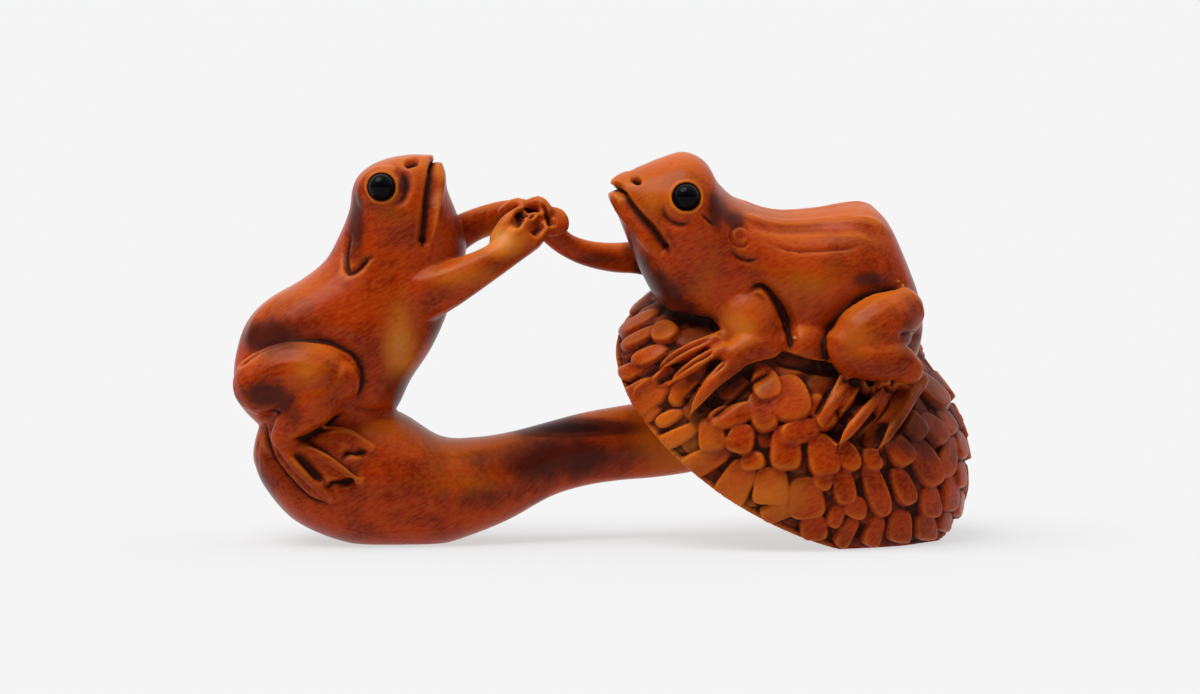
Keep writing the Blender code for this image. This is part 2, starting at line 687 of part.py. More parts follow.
def scale_field(down, turn, polar, mean):
    """Height of the cap's scales: 0 in the grooves, about 1 at a scale's free end."""
    draw = np.random.default_rng(SCALE_SEED)
    height = np.zeros(len(down))
    ring = mean * np.sin(np.clip(polar, 0.1, math.pi / 2))
    for row in range(int(math.pi / 2 * mean / SCALE_PITCH) + 2):
        start = (row - 0.9) * SCALE_PITCH
        middle = (start + 0.6 * SCALE_LENGTH) / mean
        around = 2 * math.pi * mean * math.sin(min(max(middle, 0.12), math.pi / 2))
        count = max(int(around / SCALE_WIDTH), 3)
        for step in range(count):
            angle = 2 * math.pi * (step + 0.5 * (row % 2) + draw.uniform(-0.16, 0.16)) / count
            root = start + draw.uniform(-0.2, 0.2) * SCALE_LENGTH
            wide = SCALE_WIDTH * draw.uniform(0.38, 0.52)
            long = SCALE_LENGTH * draw.uniform(0.85, 1.15)
            lean, power, tilt = draw.uniform(-0.6, 0.6), draw.uniform(1.3, 2.3), draw.uniform(-0.3, 0.3)
            share = (down - root) / long
            off = (turn - angle + math.pi) % (2 * math.pi) - math.pi
            side = (off * ring - lean * share * wide) / (wide * (1.1 - 0.2 * np.clip(share, 0, 1)))
            reach = np.clip(1 - np.abs(side) ** power, 0, 1) ** (1 / power)
            end = (0.4 + 0.6 * reach) * (1 + 0.3 * tilt * side)
            inner = np.minimum((1 - np.abs(side)) * wide, (end - share) * long)
            bank = np.clip(np.where(share > 0, inner, 0) / SCALE_EDGE, 0, 1)
            top = draw.uniform(0.82, 1.1) * (0.5 + 0.5 * share) + tilt * side
            height = np.maximum(height, top * bank * bank * (3 - 2 * bank))
    return height


def cap_relief(points):
    """How far the scales raise or sink each point, and whether it lies on the dome."""
    share = CAP.inside(points)
    radius = np.linalg.norm(share, axis=1)
    off = (1 - 1 / radius) * np.linalg.norm(share * CAP.sizes, axis=1) / SHARE
    dome = (share[:, 2] > -0.07) & (np.abs(off) < RELIEF_REACH)
    polar = np.arctan2(np.hypot(share[:, 0], share[:, 1]), share[:, 2])
    turn = np.arctan2(share[:, 1], share[:, 0])
    mean = (CAP_HALF_LENGTH + CAP_HALF_WIDTH + CAP_HEIGHT) / 3
    height = scale_field(polar[dome] * mean, turn[dome], polar[dome], mean)
    fade = np.clip(2 * (1 - np.maximum(off[dome], 0) / RELIEF_REACH), 0, 1)
    lift = np.zeros(len(points))
    lift[dome] = (height - 0.75) * SCALE_RISE * SHARE * fade
    return lift, dome


def carved(item):
    """Carves the frogs' features and the cap's scales into the softened skin."""
    mesh = item.data
    points, normals = arrays(mesh)
    lift, on_dome = cap_relief(points)
    left = points[:, 0] < -8.0 * SHARE
    right = (points[:, 0] > -1.0 * SHARE) & ~on_dome
    points = cut(points, normals, LEFT, LEFT_CUTS, left)
    points = cut(points, normals, RIGHT, RIGHT_CUTS, right)
    points = cut(points, normals, RIGHT, CHANNELS, points[:, 0] > 2.0 * SHARE, both=False)
    points = points + normals * lift[:, None]
    points[:, 2] = np.maximum(points[:, 2], 0.0)
    mesh.vertices.foreach_set("co", points.ravel())
    mesh.update()


def thinned(item):
    """Brings the skin down to the number of faces that the solid may have."""
    triangles = sum(len(face.vertices) - 2 for face in item.data.polygons)
    thin = item.modifiers.new("thin", "DECIMATE")
    thin.ratio = TRIANGLES / triangles
    applied(item)
    points, _ = arrays(item.data)
    points[:, 2] = np.maximum(points[:, 2], 0.0)
    item.data.vertices.foreach_set("co", points.ravel())
    item.data.update()


def eye_places(body):
    """Centres of the four beads, so that each stands proud of its brow by the same amount."""
    bpy.context.view_layer.update()
    places = {}
    for name, side, (x, z) in (("left_frog", LEFT, LEFT_EYE), ("right_frog", RIGHT, RIGHT_EYE)):
        for kind in ("near", "far"):
            origin, aim = np.array(seen(x, z, -12.0)), np.array(GAZE)
            if kind == "far":
                origin = side.mirror(origin)
                aim = aim - 2 * (aim @ side.across) * side.across
            aim = Vector(aim).normalized()
            _, place, _, _ = body.ray_cast(Vector(origin), aim)
            sink = (BEAD_DIAMETER / 2 - BEAD_PROUD) * SHARE
            places[f"{name}_{kind}_eye"] = place + aim * sink
    return places


def sphere(name, centre, radius, collection):
    """A ball object, at its place."""
    mesh = bpy.data.meshes.new(name)
    shape = bmesh.new()
    bmesh.ops.create_uvsphere(
        shape,
        u_segments=16,
        v_segments=9,
        radius=radius,
        matrix=Matrix.Rotation(math.pi / 2, 4, "X"),
    )
    shape.to_mesh(mesh)
    shape.free()
    mesh.shade_smooth()
    item = bpy.data.objects.new(name, mesh)
    item.location = centre
    collection.objects.link(item)
    return item


def finish_of(name, colour, roughness):
    """A plain material in the piece's own colour."""
    finish = bpy.data.materials.new(name)
    finish.use_nodes = True
    shader = finish.node_tree.nodes["Principled BSDF"]
    shader.inputs["Base Color"].default_value = colour
    shader.inputs["Roughness"].default_value = roughness
    return finish


def main():
    """Makes the carving with its four beads, and brings them to metres."""
    for item in list(bpy.data.objects):
        bpy.data.objects.remove(item)
    pieces = bpy.data.collections.new("frog_netsuke")
    cutters = bpy.data.collections.new("cutters")
    bpy.context.scene.collection.children.link(pieces)
    bpy.context.scene.collection.children.link(cutters)

    carving = joined([cap_mesh(), loft(STALK)] + left_frog() + hands() + right_frog())
    fused(carving)
    carved(carving)
    thinned(carving)
    eyes = eye_places(carving)

    carving.name = "netsuke_carving"
    bpy.context.scene.collection.objects.unlink(carving)
    pieces.objects.link(carving)
    low = np.array([min(corner[i] for corner in carving.bound_box) for i in range(3)])
    high = np.array([max(corner[i] for corner in carving.bound_box) for i in range(3)])
    shift = Vector(((low[0] + high[0]) / 2, (low[1] + high[1]) / 2, 0.0))
    carving.data.transform(Matrix.Scale(METRES, 4) @ Matrix.Translation(-shift))
    carving.data.shade_smooth()
    carving.data.materials.clear()
    carving.data.materials.append(finish_of("stained_boxwood", BOXWOOD, 0.35))
    glass = finish_of("black_bead", BLACK_BEAD, 0.08)
    for name, centre in eyes.items():
        place = (centre - shift) * METRES
        radius = BEAD_DIAMETER / 2 * SHARE * METRES
        bead = sphere(name, place, radius, pieces)
        bead.data.materials.append(glass)
        gap = BEAD_CLEARANCE * SHARE * METRES
        socket = sphere(name + "_socket", place, radius + gap, cutters)
        socket.hide_render = True
        socket.display_type = "WIRE"
        seat = carving.modifiers.new(name, "BOOLEAN")
        seat.operation = "DIFFERENCE"
        seat.object = socket


if __name__ == "__main__":
    main()
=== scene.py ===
"""Boxwood netsuke: two frogs holding hands on a mushroom, with black beads let in as eyes.

The carving is shaped in millimetres from lofts, tubes and balls, fused into one skin, softened and
then cut like wood: scales, creases, mouths, pits. The finished skin is brought to metres and set on
the CAD frame by its eye beads. X runs along the netsuke, Z is up, and the front view looks along +Y.
"""

import logging
import math
from dataclasses import dataclass

import bmesh
import bpy
import numpy as np
from mathutils import Matrix, Vector


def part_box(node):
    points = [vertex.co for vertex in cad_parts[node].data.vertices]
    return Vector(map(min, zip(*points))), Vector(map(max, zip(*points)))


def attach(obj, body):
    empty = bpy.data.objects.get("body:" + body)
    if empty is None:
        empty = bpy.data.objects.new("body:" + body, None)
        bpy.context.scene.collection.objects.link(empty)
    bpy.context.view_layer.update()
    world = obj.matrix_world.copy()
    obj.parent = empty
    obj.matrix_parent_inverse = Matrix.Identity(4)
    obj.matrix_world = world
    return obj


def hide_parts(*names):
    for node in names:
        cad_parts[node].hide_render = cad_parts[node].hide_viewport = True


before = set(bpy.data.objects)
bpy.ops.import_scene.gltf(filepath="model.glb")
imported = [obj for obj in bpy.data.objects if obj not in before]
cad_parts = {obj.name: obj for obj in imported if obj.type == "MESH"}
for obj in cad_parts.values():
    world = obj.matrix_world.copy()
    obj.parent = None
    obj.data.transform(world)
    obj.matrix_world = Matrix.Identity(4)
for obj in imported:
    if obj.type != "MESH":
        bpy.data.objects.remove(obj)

LOG = logging.getLogger("netsuke")
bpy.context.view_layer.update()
METRES = 0.001
ELEVATION = 4.0
FRONT_SLOPE = math.tan(math.radians(ELEVATION))
# Steps along and width at a limb's round end, as shares of its radius
ROUND_END = ((0.5, 0.86), (0.85, 0.5), (1.0, 0.12))
NEXT_TO_NOTHING = 1e-9
QUARTER_TURN = math.pi / 2
Points = np.ndarray
Mesh = bpy.types.Mesh
Socket = bpy.types.NodeSocket
Colour = tuple[float, float, float, float]


def seen(x: float, z: float, y: float) -> Points:
    """Gives the point that shows at (x, z) in the front view when it lies at depth y.

    Args:
        x: Place along the netsuke, in millimetres.
        z: Height as the front view shows it, in millimetres.
        y: Depth, towards the back, in millimetres.

    Returns:
        The point, in millimetres.
    """
    return np.array((x, y, z - FRONT_SLOPE * y))


def mesh_of(shape: bmesh.types.BMesh, name: str) -> Mesh:
    """Turns a working shape into a mesh, and frees the shape.

    Args:
        shape: The working shape.
        name: The mesh's name.

    Returns:
        The mesh.
    """
    mesh = bpy.data.meshes.new(name)
    shape.to_mesh(mesh)
    shape.free()
    return mesh


def put_in_scene(name: str, data: bpy.types.ID) -> bpy.types.Object:
    """Makes an object of a mesh, curve, camera or light, and puts it in the scene.

    Args:
        name: The object's name.
        data: What the object shows.

    Returns:
        The object.
    """
    item = bpy.data.objects.new(name, data)
    bpy.context.scene.collection.objects.link(item)
    return item


def evaluated(item: bpy.types.Object) -> bpy.types.Object:
    """Gives an object as its modifiers leave it.

    Args:
        item: The object.

    Returns:
        The evaluated object.
    """
    bpy.context.view_layer.update()
    return item.evaluated_get(bpy.context.evaluated_depsgraph_get())


def smooth_rows(rows: list | Points, steps: int = 4) -> Points:
    """Puts Catmull-Rom rows between rows of numbers.

    Args:
        rows: The rows that the smooth run passes through.
        steps: Rows given for each stretch.

    Returns:
        The smooth rows.
    """
    rows = np.asarray(rows, float)
    ends = np.vstack([2 * rows[0] - rows[1], rows, 2 * rows[-1] - rows[-2]])
    share = (np.arange(steps) / steps)[:, None]
    out = []
    for p0, p1, p2, p3 in zip(ends, ends[1:], ends[2:], ends[3:]):
        bend = (2 * p0 - 5 * p1 + 4 * p2 - p3) * share**2
        twist = (3 * p1 - p0 - 3 * p2 + p3) * share**3
        out.append(0.5 * (2 * p1 + (p2 - p0) * share + bend + twist))
    return np.vstack(out + [rows[-1:]])


@dataclass(frozen=True)
class MiddlePlane:
    """A frog's middle plane, which mirrors its near side to its far side."""

    x: float
    z: float
    roll: float
    yaw: float

    @property
    def point(self) -> Points:
        """A point of the plane."""
        return seen(self.x, self.z, 0.0)

    @property
    def across(self) -> Points:
        """The plane's normal, towards the far side.

        Returns:
            A vector of length 1.
        """
        roll, yaw = math.radians(self.roll), math.radians(self.yaw)
        level = math.cos(roll)
        return np.array((-math.sin(yaw) * level, math.cos(yaw) * level, math.sin(roll)))

    def middle(self, x: float, z: float) -> float:
        """Gives the plane's depth at a place.

        Args:
            x: Place along the netsuke.
            z: Height.

        Returns:
            The y of the plane there.
        """
        gap = (np.array((x, 0.0, z)) - self.point) @ self.across
        return -gap / self.across[1]

    def offset(self, points: Points) -> Points:
        """Distance from the plane, minus on the near side."""
        return (points - self.point) @ self.across

    def mirror(self, points: Points) -> Points:
        """The same points on the other side."""
        points = np.asarray(points, float)
        return points - 2 * np.multiply.outer(self.offset(points), self.across)

    def near(self, points: Points) -> Points:
        """Brings points of the far side to their mirror place on the near side.

        Args:
            points: Points of the skin.

        Returns:
            A point of the near side for each.
        """
        out = points.copy()
        far = self.offset(points) > 0
        out[far] = self.mirror(points[far])
        return out


@dataclass(frozen=True)
class Section:
    """One section of a body: where its upper and lower edges show, and its half depth."""

    top_x: float
    top_z: float
    bottom_x: float
    bottom_z: float
    half_depth: float
    y: float = 0.0

    def row(self) -> tuple:
        """The section's numbers in one row."""
        return (self.top_x, self.top_z, self.bottom_x, self.bottom_z, self.half_depth, self.y)


@dataclass(frozen=True)
class Body:
    """A body lofted through sections, which lean with a middle plane if there is one."""

    sections: tuple[Section, ...]
    plane: MiddlePlane | None = None
    sides: int = 48
    squareness: float = 2.3
    least_depth: float = 0.2

    def mesh(self) -> Mesh:
        """Builds the loft.

        Returns:
            A closed mesh with its faces outward.
        """
        turn = 2 * math.pi * np.arange(self.sides) / self.sides
        power = 2 / self.squareness
        along = np.sign(np.cos(turn)) * np.abs(np.cos(turn)) ** power
        aside = np.sign(np.sin(turn)) * np.abs(np.sin(turn)) ** power
        rings = []
        for tx, tz, bx, bz, depth, y in smooth_rows([one.row() for one in self.sections]):
            if self.plane:
                y += self.plane.middle((tx + bx) / 2, (tz + bz) / 2)
            top, bottom = seen(tx, tz, y), seen(bx, bz, y)
            reach = (top - bottom) / 2
            side = self.plane.across if self.plane else np.array((0.0, 1.0, 0.0))
            up = reach - (reach @ side) * side
            up = up / np.linalg.norm(up) * np.linalg.norm(reach)
            ring = np.outer(along, up) + np.outer(aside, side) * max(depth, self.least_depth)
            rings.append((top + bottom) / 2 + ring)
        return self.skin(rings)

    def skin(self, rings: list[Points]) -> Mesh:
        """Joins rings of points into a closed skin.

        Args:
            rings: The rings, in order.

        Returns:
            The mesh.
        """
        count = self.sides
        points = np.vstack(rings)
        faces = [tuple(range(count)), tuple(range(len(points) - 1, len(points) - 1 - count, -1))]
        for start in range(0, len(points) - count, count):
            for i in range(count):
                j = (i + 1) % count
                faces.append((start + i, start + j, start + count + j, start + count + i))
        shape = bmesh.new()
        corners = [shape.verts.new(point) for point in points]
        for face in faces:
            shape.faces.new([corners[i] for i in face])
        bmesh.ops.recalc_face_normals(shape, faces=shape.faces)
        return mesh_of(shape, "body")


@dataclass(frozen=True)
class Limb:
    """A leg, finger or toe: a tube of changing thickness through (x, y, z, radius) stops."""

    stops: tuple
    roundness: int = 6

    @classmethod
    def shown(cls, *rows: tuple) -> "Limb":
        """Makes a limb from rows of (x, z, y, radius) as the front view shows them.

        Args:
            rows: The stops.

        Returns:
            The limb.
        """
        return cls(tuple((*seen(x, z, y), radius) for x, z, y, radius in rows))

    def mirrored(self, plane: MiddlePlane) -> "Limb":
        """The same limb on the other side of a middle plane."""
        return Limb(tuple((*plane.mirror(np.array(stop[:3])), stop[3]) for stop in self.stops))

    def rows(self) -> Points:
        """Works out the smooth run of stops, with round ends.

        Returns:
            A row of x, y, z and radius for each place.
        """
        rows = smooth_rows(self.stops)
        for end, next_in in ((0, 1), (-1, -2)):
            way = rows[end, :3] - rows[next_in, :3]
            way = way / np.linalg.norm(way)
            radius = rows[end, 3]
            tip = [
                np.append(rows[end, :3] + way * radius * out, radius * width) for out, width in ROUND_END
            ]
            rows = np.vstack([rows, tip] if end == -1 else [tip[::-1], rows])
        return rows

    def mesh(self) -> Mesh:
        """Builds the limb as a bevelled curve.

        Returns:
            A closed mesh.
        """
        rows = self.rows()
        curve = bpy.data.curves.new("limb", "CURVE")
        curve.dimensions = "3D"
        curve.bevel_depth = 1.0
        curve.bevel_resolution = self.roundness
        curve.use_fill_caps = True
        spline = curve.splines.new("POLY")
        spline.points.add(len(rows) - 1)
        for point, (x, y, z, radius) in zip(spline.points, rows):
            point.co = (x, y, z, 1.0)
            point.radius = radius
        holder = put_in_scene("limb", curve)
        mesh = bpy.data.meshes.new_from_object(evaluated(holder))
        bpy.data.objects.remove(holder)
        bpy.data.curves.remove(curve)
        return mesh


@dataclass(frozen=True)
class Ball:
    """An ellipsoid, such as a brow or a palm, turned about the line of sight."""

    centre: tuple
    radii: tuple[float, float, float]
    turn: float = 0.0
    sides: int = 40
    rings: int = 24

    def mesh(self) -> Mesh:
        """Builds the ellipsoid.

        Returns:
            A closed mesh.
        """
        shape = bmesh.new()
        place = (
            Matrix.Translation(Vector(self.centre))
            @ Matrix.Rotation(math.radians(-self.turn), 4, "Y")
            @ Matrix.Diagonal((*self.radii, 1.0))
        )
        bmesh.ops.create_uvsphere(
            shape, u_segments=self.sides, v_segments=self.rings, radius=1.0, matrix=place
        )
        return mesh_of(shape, "ball")


@dataclass(frozen=True)
class Cut:
    """A knife cut, or with a depth below zero a raised line, along a path in the front view.

    A step makes one side of the cut slope down to it over that width: the left of the path's
    direction for a step above zero, the right for one below.
    """

    path: tuple
    half_width: float
    depth: float
    stain: float = 1.0
    step: float = 0.0
    run_out: float = 1.1
    # How its flanks and its ends run out, how the stain gathers in it, and how much painted shade darkens
    # a step's slope
    flank_power: float = 0.8
    tone_gain: float = 1.4
    tone_start: float = 0.15
    tone_power: float = 1.3
    slope_power: float = 1.6
    slope_shade: float = 0.5
    end_power: float = 0.7
    shallow_tone: float = 0.35
    tone_per_mm: float = 1.3

    def reach(self) -> float:
        """How far from its line the cut changes the wood."""
        return max(self.half_width, abs(self.step))

    def profile(self, points: Points) -> tuple[Points, Points]:
        """Gives how deep and how dark the cut is at points of the skin.

        Args:
            points: Points of the near side.

        Returns:
            The depth in millimetres, and the stain from 0 to 1.
        """
        flat = np.column_stack([points[:, 0], points[:, 2] + FRONT_SLOPE * points[:, 1]])
        path = smooth_rows(self.path) if len(self.path) > 1 else np.array(self.path * 2, float)
        low, high = path.min(axis=0) - self.reach(), path.max(axis=0) + self.reach()
        inside = np.flatnonzero(((flat > low) & (flat < high)).all(axis=1))
        best, left = np.full(len(inside), np.inf), np.zeros(len(inside), bool)
        at, travelled = np.zeros(len(inside)), 0.0
        for a, b in zip(path, path[1:]):
            run = b - a
            share = np.clip((flat[inside] - a) @ run / max(run @ run, NEXT_TO_NOTHING), 0, 1)
            gap = flat[inside] - a - share[:, None] * run
            length = np.linalg.norm(gap, axis=1)
            closer = length < best
            best[closer] = length[closer]
            left[closer] = (run[0] * gap[:, 1] - run[1] * gap[:, 0])[closer] > 0
            at[closer] = (travelled + share * np.linalg.norm(run))[closer]
            travelled += np.linalg.norm(run)
        close = np.clip(1 - best / self.half_width, 0, 1)
        sink = close**self.flank_power
        tone = np.clip(close * self.tone_gain - self.tone_start, 0, 1) ** self.tone_power
        if self.step:
            slope = np.clip(1 - best / abs(self.step), 0, 1) * (left == (self.step > 0))
            sink = np.maximum(sink, slope**self.slope_power)
            # The sloping side of a step is darkened as painted shade
            tone = np.maximum(tone, self.slope_shade * slope**2)
        if travelled > self.run_out:
            ends = np.minimum(at, travelled - at) / min(self.run_out, travelled / 3)
            fade = np.clip(ends, 0, 1) ** self.end_power
            sink, tone = sink * fade, tone * fade
        tone = tone * min(1.0, self.shallow_tone + self.tone_per_mm * abs(self.depth))
        depth, stain = np.zeros(len(points)), np.zeros(len(points))
        depth[inside], stain[inside] = sink * self.depth, tone * self.stain
        return depth, stain


@dataclass(frozen=True)
class ScaleRows:
    """The overlapping scales of the cap, gouged in rows from the crown to the rim."""

    length: float = 3.3
    width: float = 2.7
    rise: float = 0.75
    pitch: float = 2.35
    edge: float = 0.6
    # How far the hand strays from row to row and from scale to scale
    first_row: float = -0.9
    middle: float = 0.6
    least_angle: float = 0.12
    swing: float = 0.16
    slip: float = 0.2
    half_widths: tuple[float, float] = (0.38, 0.52)
    lengths: tuple[float, float] = (0.85, 1.15)
    lean: float = 0.6
    powers: tuple[float, float] = (1.3, 2.3)
    tilt: float = 0.3
    tops: tuple[float, float] = (0.82, 1.1)
    blunt_end: float = 0.4
    round_end: float = 0.6
    skew: float = 0.3
    seed: int = 11

    def field(self, down: Points, turn: Points, polar: Points, mean: float) -> Points:
        """Gives the height of the scales.

        Args:
            down: Distance from the crown along the dome.
            turn: Angle about the dome's axis.
            polar: Angle from the dome's axis.
            mean: The dome's mean radius.

        Returns:
            Height, 0 in a groove and about 1 at a scale's free end.
        """
        draw = np.random.default_rng(self.seed)
        height = np.zeros(len(down))
        ring = mean * np.sin(np.clip(polar, 0.1, QUARTER_TURN))
        for row in range(int(QUARTER_TURN * mean / self.pitch) + 2):
            start = (row + self.first_row) * self.pitch
            middle = (start + self.middle * self.length) / mean
            around = 2 * math.pi * mean * math.sin(min(max(middle, self.least_angle), QUARTER_TURN))
            count = max(int(around / self.width), 3)
            for step in range(count):
                swing = draw.uniform(-self.swing, self.swing)
                angle = 2 * math.pi * (step + 0.5 * (row % 2) + swing) / count
                root = start + draw.uniform(-self.slip, self.slip) * self.length
                wide = self.width * draw.uniform(*self.half_widths)
                long = self.length * draw.uniform(*self.lengths)
                lean, power = draw.uniform(-self.lean, self.lean), draw.uniform(*self.powers)
                tilt = draw.uniform(-self.tilt, self.tilt)
                share = (down - root) / long
                off = (turn - angle + math.pi) % (2 * math.pi) - math.pi
                side = (off * ring - lean * share * wide) / (wide * (1.1 - 0.2 * np.clip(share, 0, 1)))
                reach = np.clip(1 - np.abs(side) ** power, 0, 1) ** (1 / power)
                end = (self.blunt_end + self.round_end * reach) * (1 + self.skew * tilt * side)
                inner = np.minimum((1 - np.abs(side)) * wide, (end - share) * long)
                bank = np.clip(np.where(share > 0, inner, 0) / self.edge, 0, 1)
                top = draw.uniform(*self.tops) * (0.5 + 0.5 * share) + tilt * side
                height = np.maximum(height, top * bank * bank * (3 - 2 * bank))
        return height


@dataclass(frozen=True)
class Plate:
    """A scale of the cap's front as the front view shows it, highest at its lower end."""

    x: float
    z: float
    wide: float
    long: float
    turn: float
    power: float
    flare: float = 0.15
    rim: float = 1.05
    middle_height: float = 0.68
    slope: float = 0.32

    def height(self, flat: Points, edge: float) -> Points:
        """Gives the height of the scale.

        Args:
            flat: Places in the front view.
            edge: Width of its sloping edge.

        Returns:
            Height, 0 outside it and about 1 at its lower end.
        """
        turn = math.radians(self.turn)
        gap = flat - (self.x, self.z)
        down = gap @ (math.sin(turn), -math.cos(turn)) / self.long
        lower = np.clip(down, -1, 1)
        side = gap @ (math.cos(turn), math.sin(turn)) / (self.wide * (1 + self.flare * lower))
        reach = (np.abs(side) ** self.power + np.abs(down) ** self.power) ** (1 / self.power)
        bank = np.clip((self.rim - reach) * min(self.wide, self.long) / edge, 0, 1)
        return bank * (2 - bank) * (self.middle_height + self.slope * lower)


@dataclass(frozen=True)
class Mushroom:
    """The mushroom that carries both frogs: bulb, bent stalk and tilted cap."""

    half_length: float = 14.9
    half_width: float = 13.0
    height: float = 9.7
    rim: float = 1.5
    hollow: float = 2.2
    centre: tuple = (14.15, 3.0, 9.1)
    slope: float = 30.4
    tilt: float = 30.0
    bulb_edge: float = 0.98
    # The lip and the hollow, as shares of the rim and of the radius
    rim_drop: float = 0.25
    lip_edge: tuple[float, float] = (0.985, 0.55)
    lip_low: float = 0.7
    hollow_reach: float = 0.93
    hollow_start: float = 0.86
    gills: int = 64
    gill_depth: float = 0.22
    gill_tone: float = 0.8
    gill_band: float = 0.05
    gill_from: float = 0.28
    gill_to: float = 0.9
    gill_fades: tuple[float, float] = (0.1, 0.08)
    turned_steps: int = 120
    # Where the scales lie, how they blend into the listed plates, and their grooves
    relief_reach: float = 0.45
    dome_edge: float = -0.07
    front_gain: float = 10.0
    between: float = 0.3
    level: float = 0.75
    groove_top: float = 0.6
    groove_tone: float = 0.8
    scales: ScaleRows = ScaleRows()
    plate_edge: float = 0.26
    plates: tuple[Plate, ...] = tuple(Plate(*row) for row in (
        (4.26, 16.16, 1.14, 0.99, 20, 2.0), (2.18, 16.84, 0.52, 1.93, -52, 2.6),
        (2.37, 15.67, 0.52, 1.84, -56, 2.6), (3.13, 14.29, 0.69, 1.58, -60, 2.6),
        (1.77, 13.07, 0.69, 1.15, -60, 2.6), (2.75, 11.18, 1.28, 1.75, -50, 3.2),
        (2.84, 9.58, 0.63, 1.29, -50, 3.0), (4.60, 9.49, 0.59, 1.23, -60, 2.4),
        (5.20, 8.02, 0.69, 1.82, -62, 3.0), (7.27, 6.19, 0.98, 2.24, -60, 3.6),
        (5.76, 11.56, 0.69, 1.58, -45, 2.4), (4.26, 12.50, 0.59, 1.05, -55, 2.4),
        (7.78, 8.26, 1.04, 1.37, 8, 4.0), (10.02, 7.98, 1.08, 1.26, -16, 3.2),
        (9.53, 9.77, 0.90, 2.10, -72, 2.8), (11.61, 10.05, 1.04, 1.68, 20, 2.6),
        (11.98, 12.13, 1.14, 1.40, 14, 2.6), (13.77, 11.09, 1.53, 1.86, 12, 2.6),
        (14.62, 8.55, 0.98, 1.82, -72, 2.4), (13.40, 7.32, 1.18, 1.82, 0, 3.4),
        (16.22, 6.75, 1.18, 1.72, 12, 3.2), (16.13, 10.05, 0.86, 1.58, 24, 2.6),
        (18.20, 6.66, 0.86, 1.33, 20, 2.4), (10.85, 6.25, 1.04, 0.77, 10, 2.6),
        (9.65, 4.55, 1.25, 1.90, -30, 4.0), (12.28, 4.36, 1.35, 1.44, 0, 4.6),
        (14.92, 3.42, 1.39, 1.61, 6, 3.4), (17.86, 4.36, 0.90, 1.54, 6, 3.0),
        (16.32, 4.96, 0.80, 1.05, -20, 2.4), (13.11, 2.42, 0.76, 1.79, -72, 3.0),
        (15.56, 1.20, 1.11, 1.01, 0, 3.2), (17.26, 2.04, 0.69, 1.05, -24, 2.4),
        (18.77, 2.70, 0.98, 0.91, -24, 2.6), (18.11, 0.78, 0.69, 1.44, -32, 3.4),
        (20.24, 0.82, 0.76, 1.33, -24, 3.4), (22.25, 1.20, 0.98, 1.33, -10, 3.4),
        (24.33, 1.10, 0.90, 1.09, 0, 3.2), (25.93, 1.48, 0.63, 0.95, -20, 3.0),
        (20.28, 4.21, 0.90, 2.46, 18, 2.6), (19.99, 6.38, 0.76, 1.05, 20, 2.4),
        (22.44, 4.31, 0.86, 1.65, 20, 2.6), (22.16, 7.13, 0.98, 1.44, 30, 2.6),
        (24.19, 6.19, 1.11, 2.18, 26, 2.4), (24.89, 8.73, 0.86, 1.54, 36, 2.6),
        (24.65, 3.08, 0.86, 1.37, 0, 3.0), (26.31, 3.74, 0.73, 1.61, -6, 2.8),
        (26.15, 6.57, 0.76, 1.82, -12, 2.6), (24.89, 11.75, 0.76, 2.10, 40, 2.8),
        (26.00, 9.30, 0.66, 1.33, 24, 2.6), (27.25, 7.41, 0.52, 1.26, 4, 2.8),
        (27.17, 5.15, 0.52, 1.26, -8, 2.8), (27.25, 2.70, 0.52, 1.15, -16, 2.8),
        (23.10, 9.30, 0.86, 1.75, 34, 2.6),
    ))
    stalk: tuple[Section, ...] = tuple(Section(*row) for row in (
        (-26.6, 7.7, -26.7, 6.2, 2.0), (-26.1, 8.9, -25.9, 4.3, 4.0), (-24.3, 9.6, -23.9, 1.9, 5.3),
        (-21.7, 10.0, -21.3, 0.5, 6.0), (-18.6, 10.4, -18.3, -0.3, 6.3),
        (-15.6, 9.8, -15.6, -0.4, 6.0), (-12.6, 8.0, -12.6, -0.2, 5.2),
        (-9.9, 7.9, -9.7, 0.7, 4.5, 0.3), (-7.3, 8.3, -7.1, 1.8, 3.8, 0.8),
        (-4.6, 9.0, -4.2, 3.4, 3.2, 1.5), (-2.0, 9.7, -1.6, 4.2, 2.9, 2.3),
        (0.7, 10.2, 1.1, 4.6, 2.75, 3.2), (3.3, 10.6, 3.7, 4.8, 2.8, 4.0),
        (6.4, 11.2, 7.0, 5.3, 2.9, 4.7), (9.0, 12.0, 10.3, 6.3, 3.0, 5.0),
        (11.2, 13.4, 13.8, 8.1, 3.1, 4.6), (12.6, 15.0, 16.0, 10.3, 3.0, 3.6),
    ))

    @property
    def axes(self) -> Points:
        """The cap's long, short and upright axes.

        Returns:
            One axis in each row.
        """
        slope, tilt = math.radians(self.slope), math.radians(self.tilt)
        long = np.array((math.cos(slope), 0.0, -math.sin(slope)))
        lean = math.cos(tilt)
        up = np.array((math.sin(slope) * lean, -math.sin(tilt), math.cos(slope) * lean))
        return np.array([long, np.cross(up, long), up])

    @property
    def sizes(self) -> Points:
        """The dome's half sizes along its axes."""
        return np.array((self.half_length, self.half_width, self.height))

    def shares(self, points: Points) -> Points:
        """Points in the cap's own frame, as shares of its half sizes."""
        return (np.atleast_2d(points) - np.array(self.centre)) @ self.axes.T / self.sizes

    def snap(self, point: Points, lift: float = 0.0) -> Points:
        """Brings a point to the dome along the dome's radius.

        Args:
            point: Any point near the dome.
            lift: How far it then stands off the dome.

        Returns:
            The point on the dome.
        """
        share = self.shares(point)[0]
        share = share / np.linalg.norm(share)
        normal = share / self.sizes
        normal = normal / np.linalg.norm(normal)
        return np.array(self.centre) + (share * self.sizes + normal * lift) @ self.axes

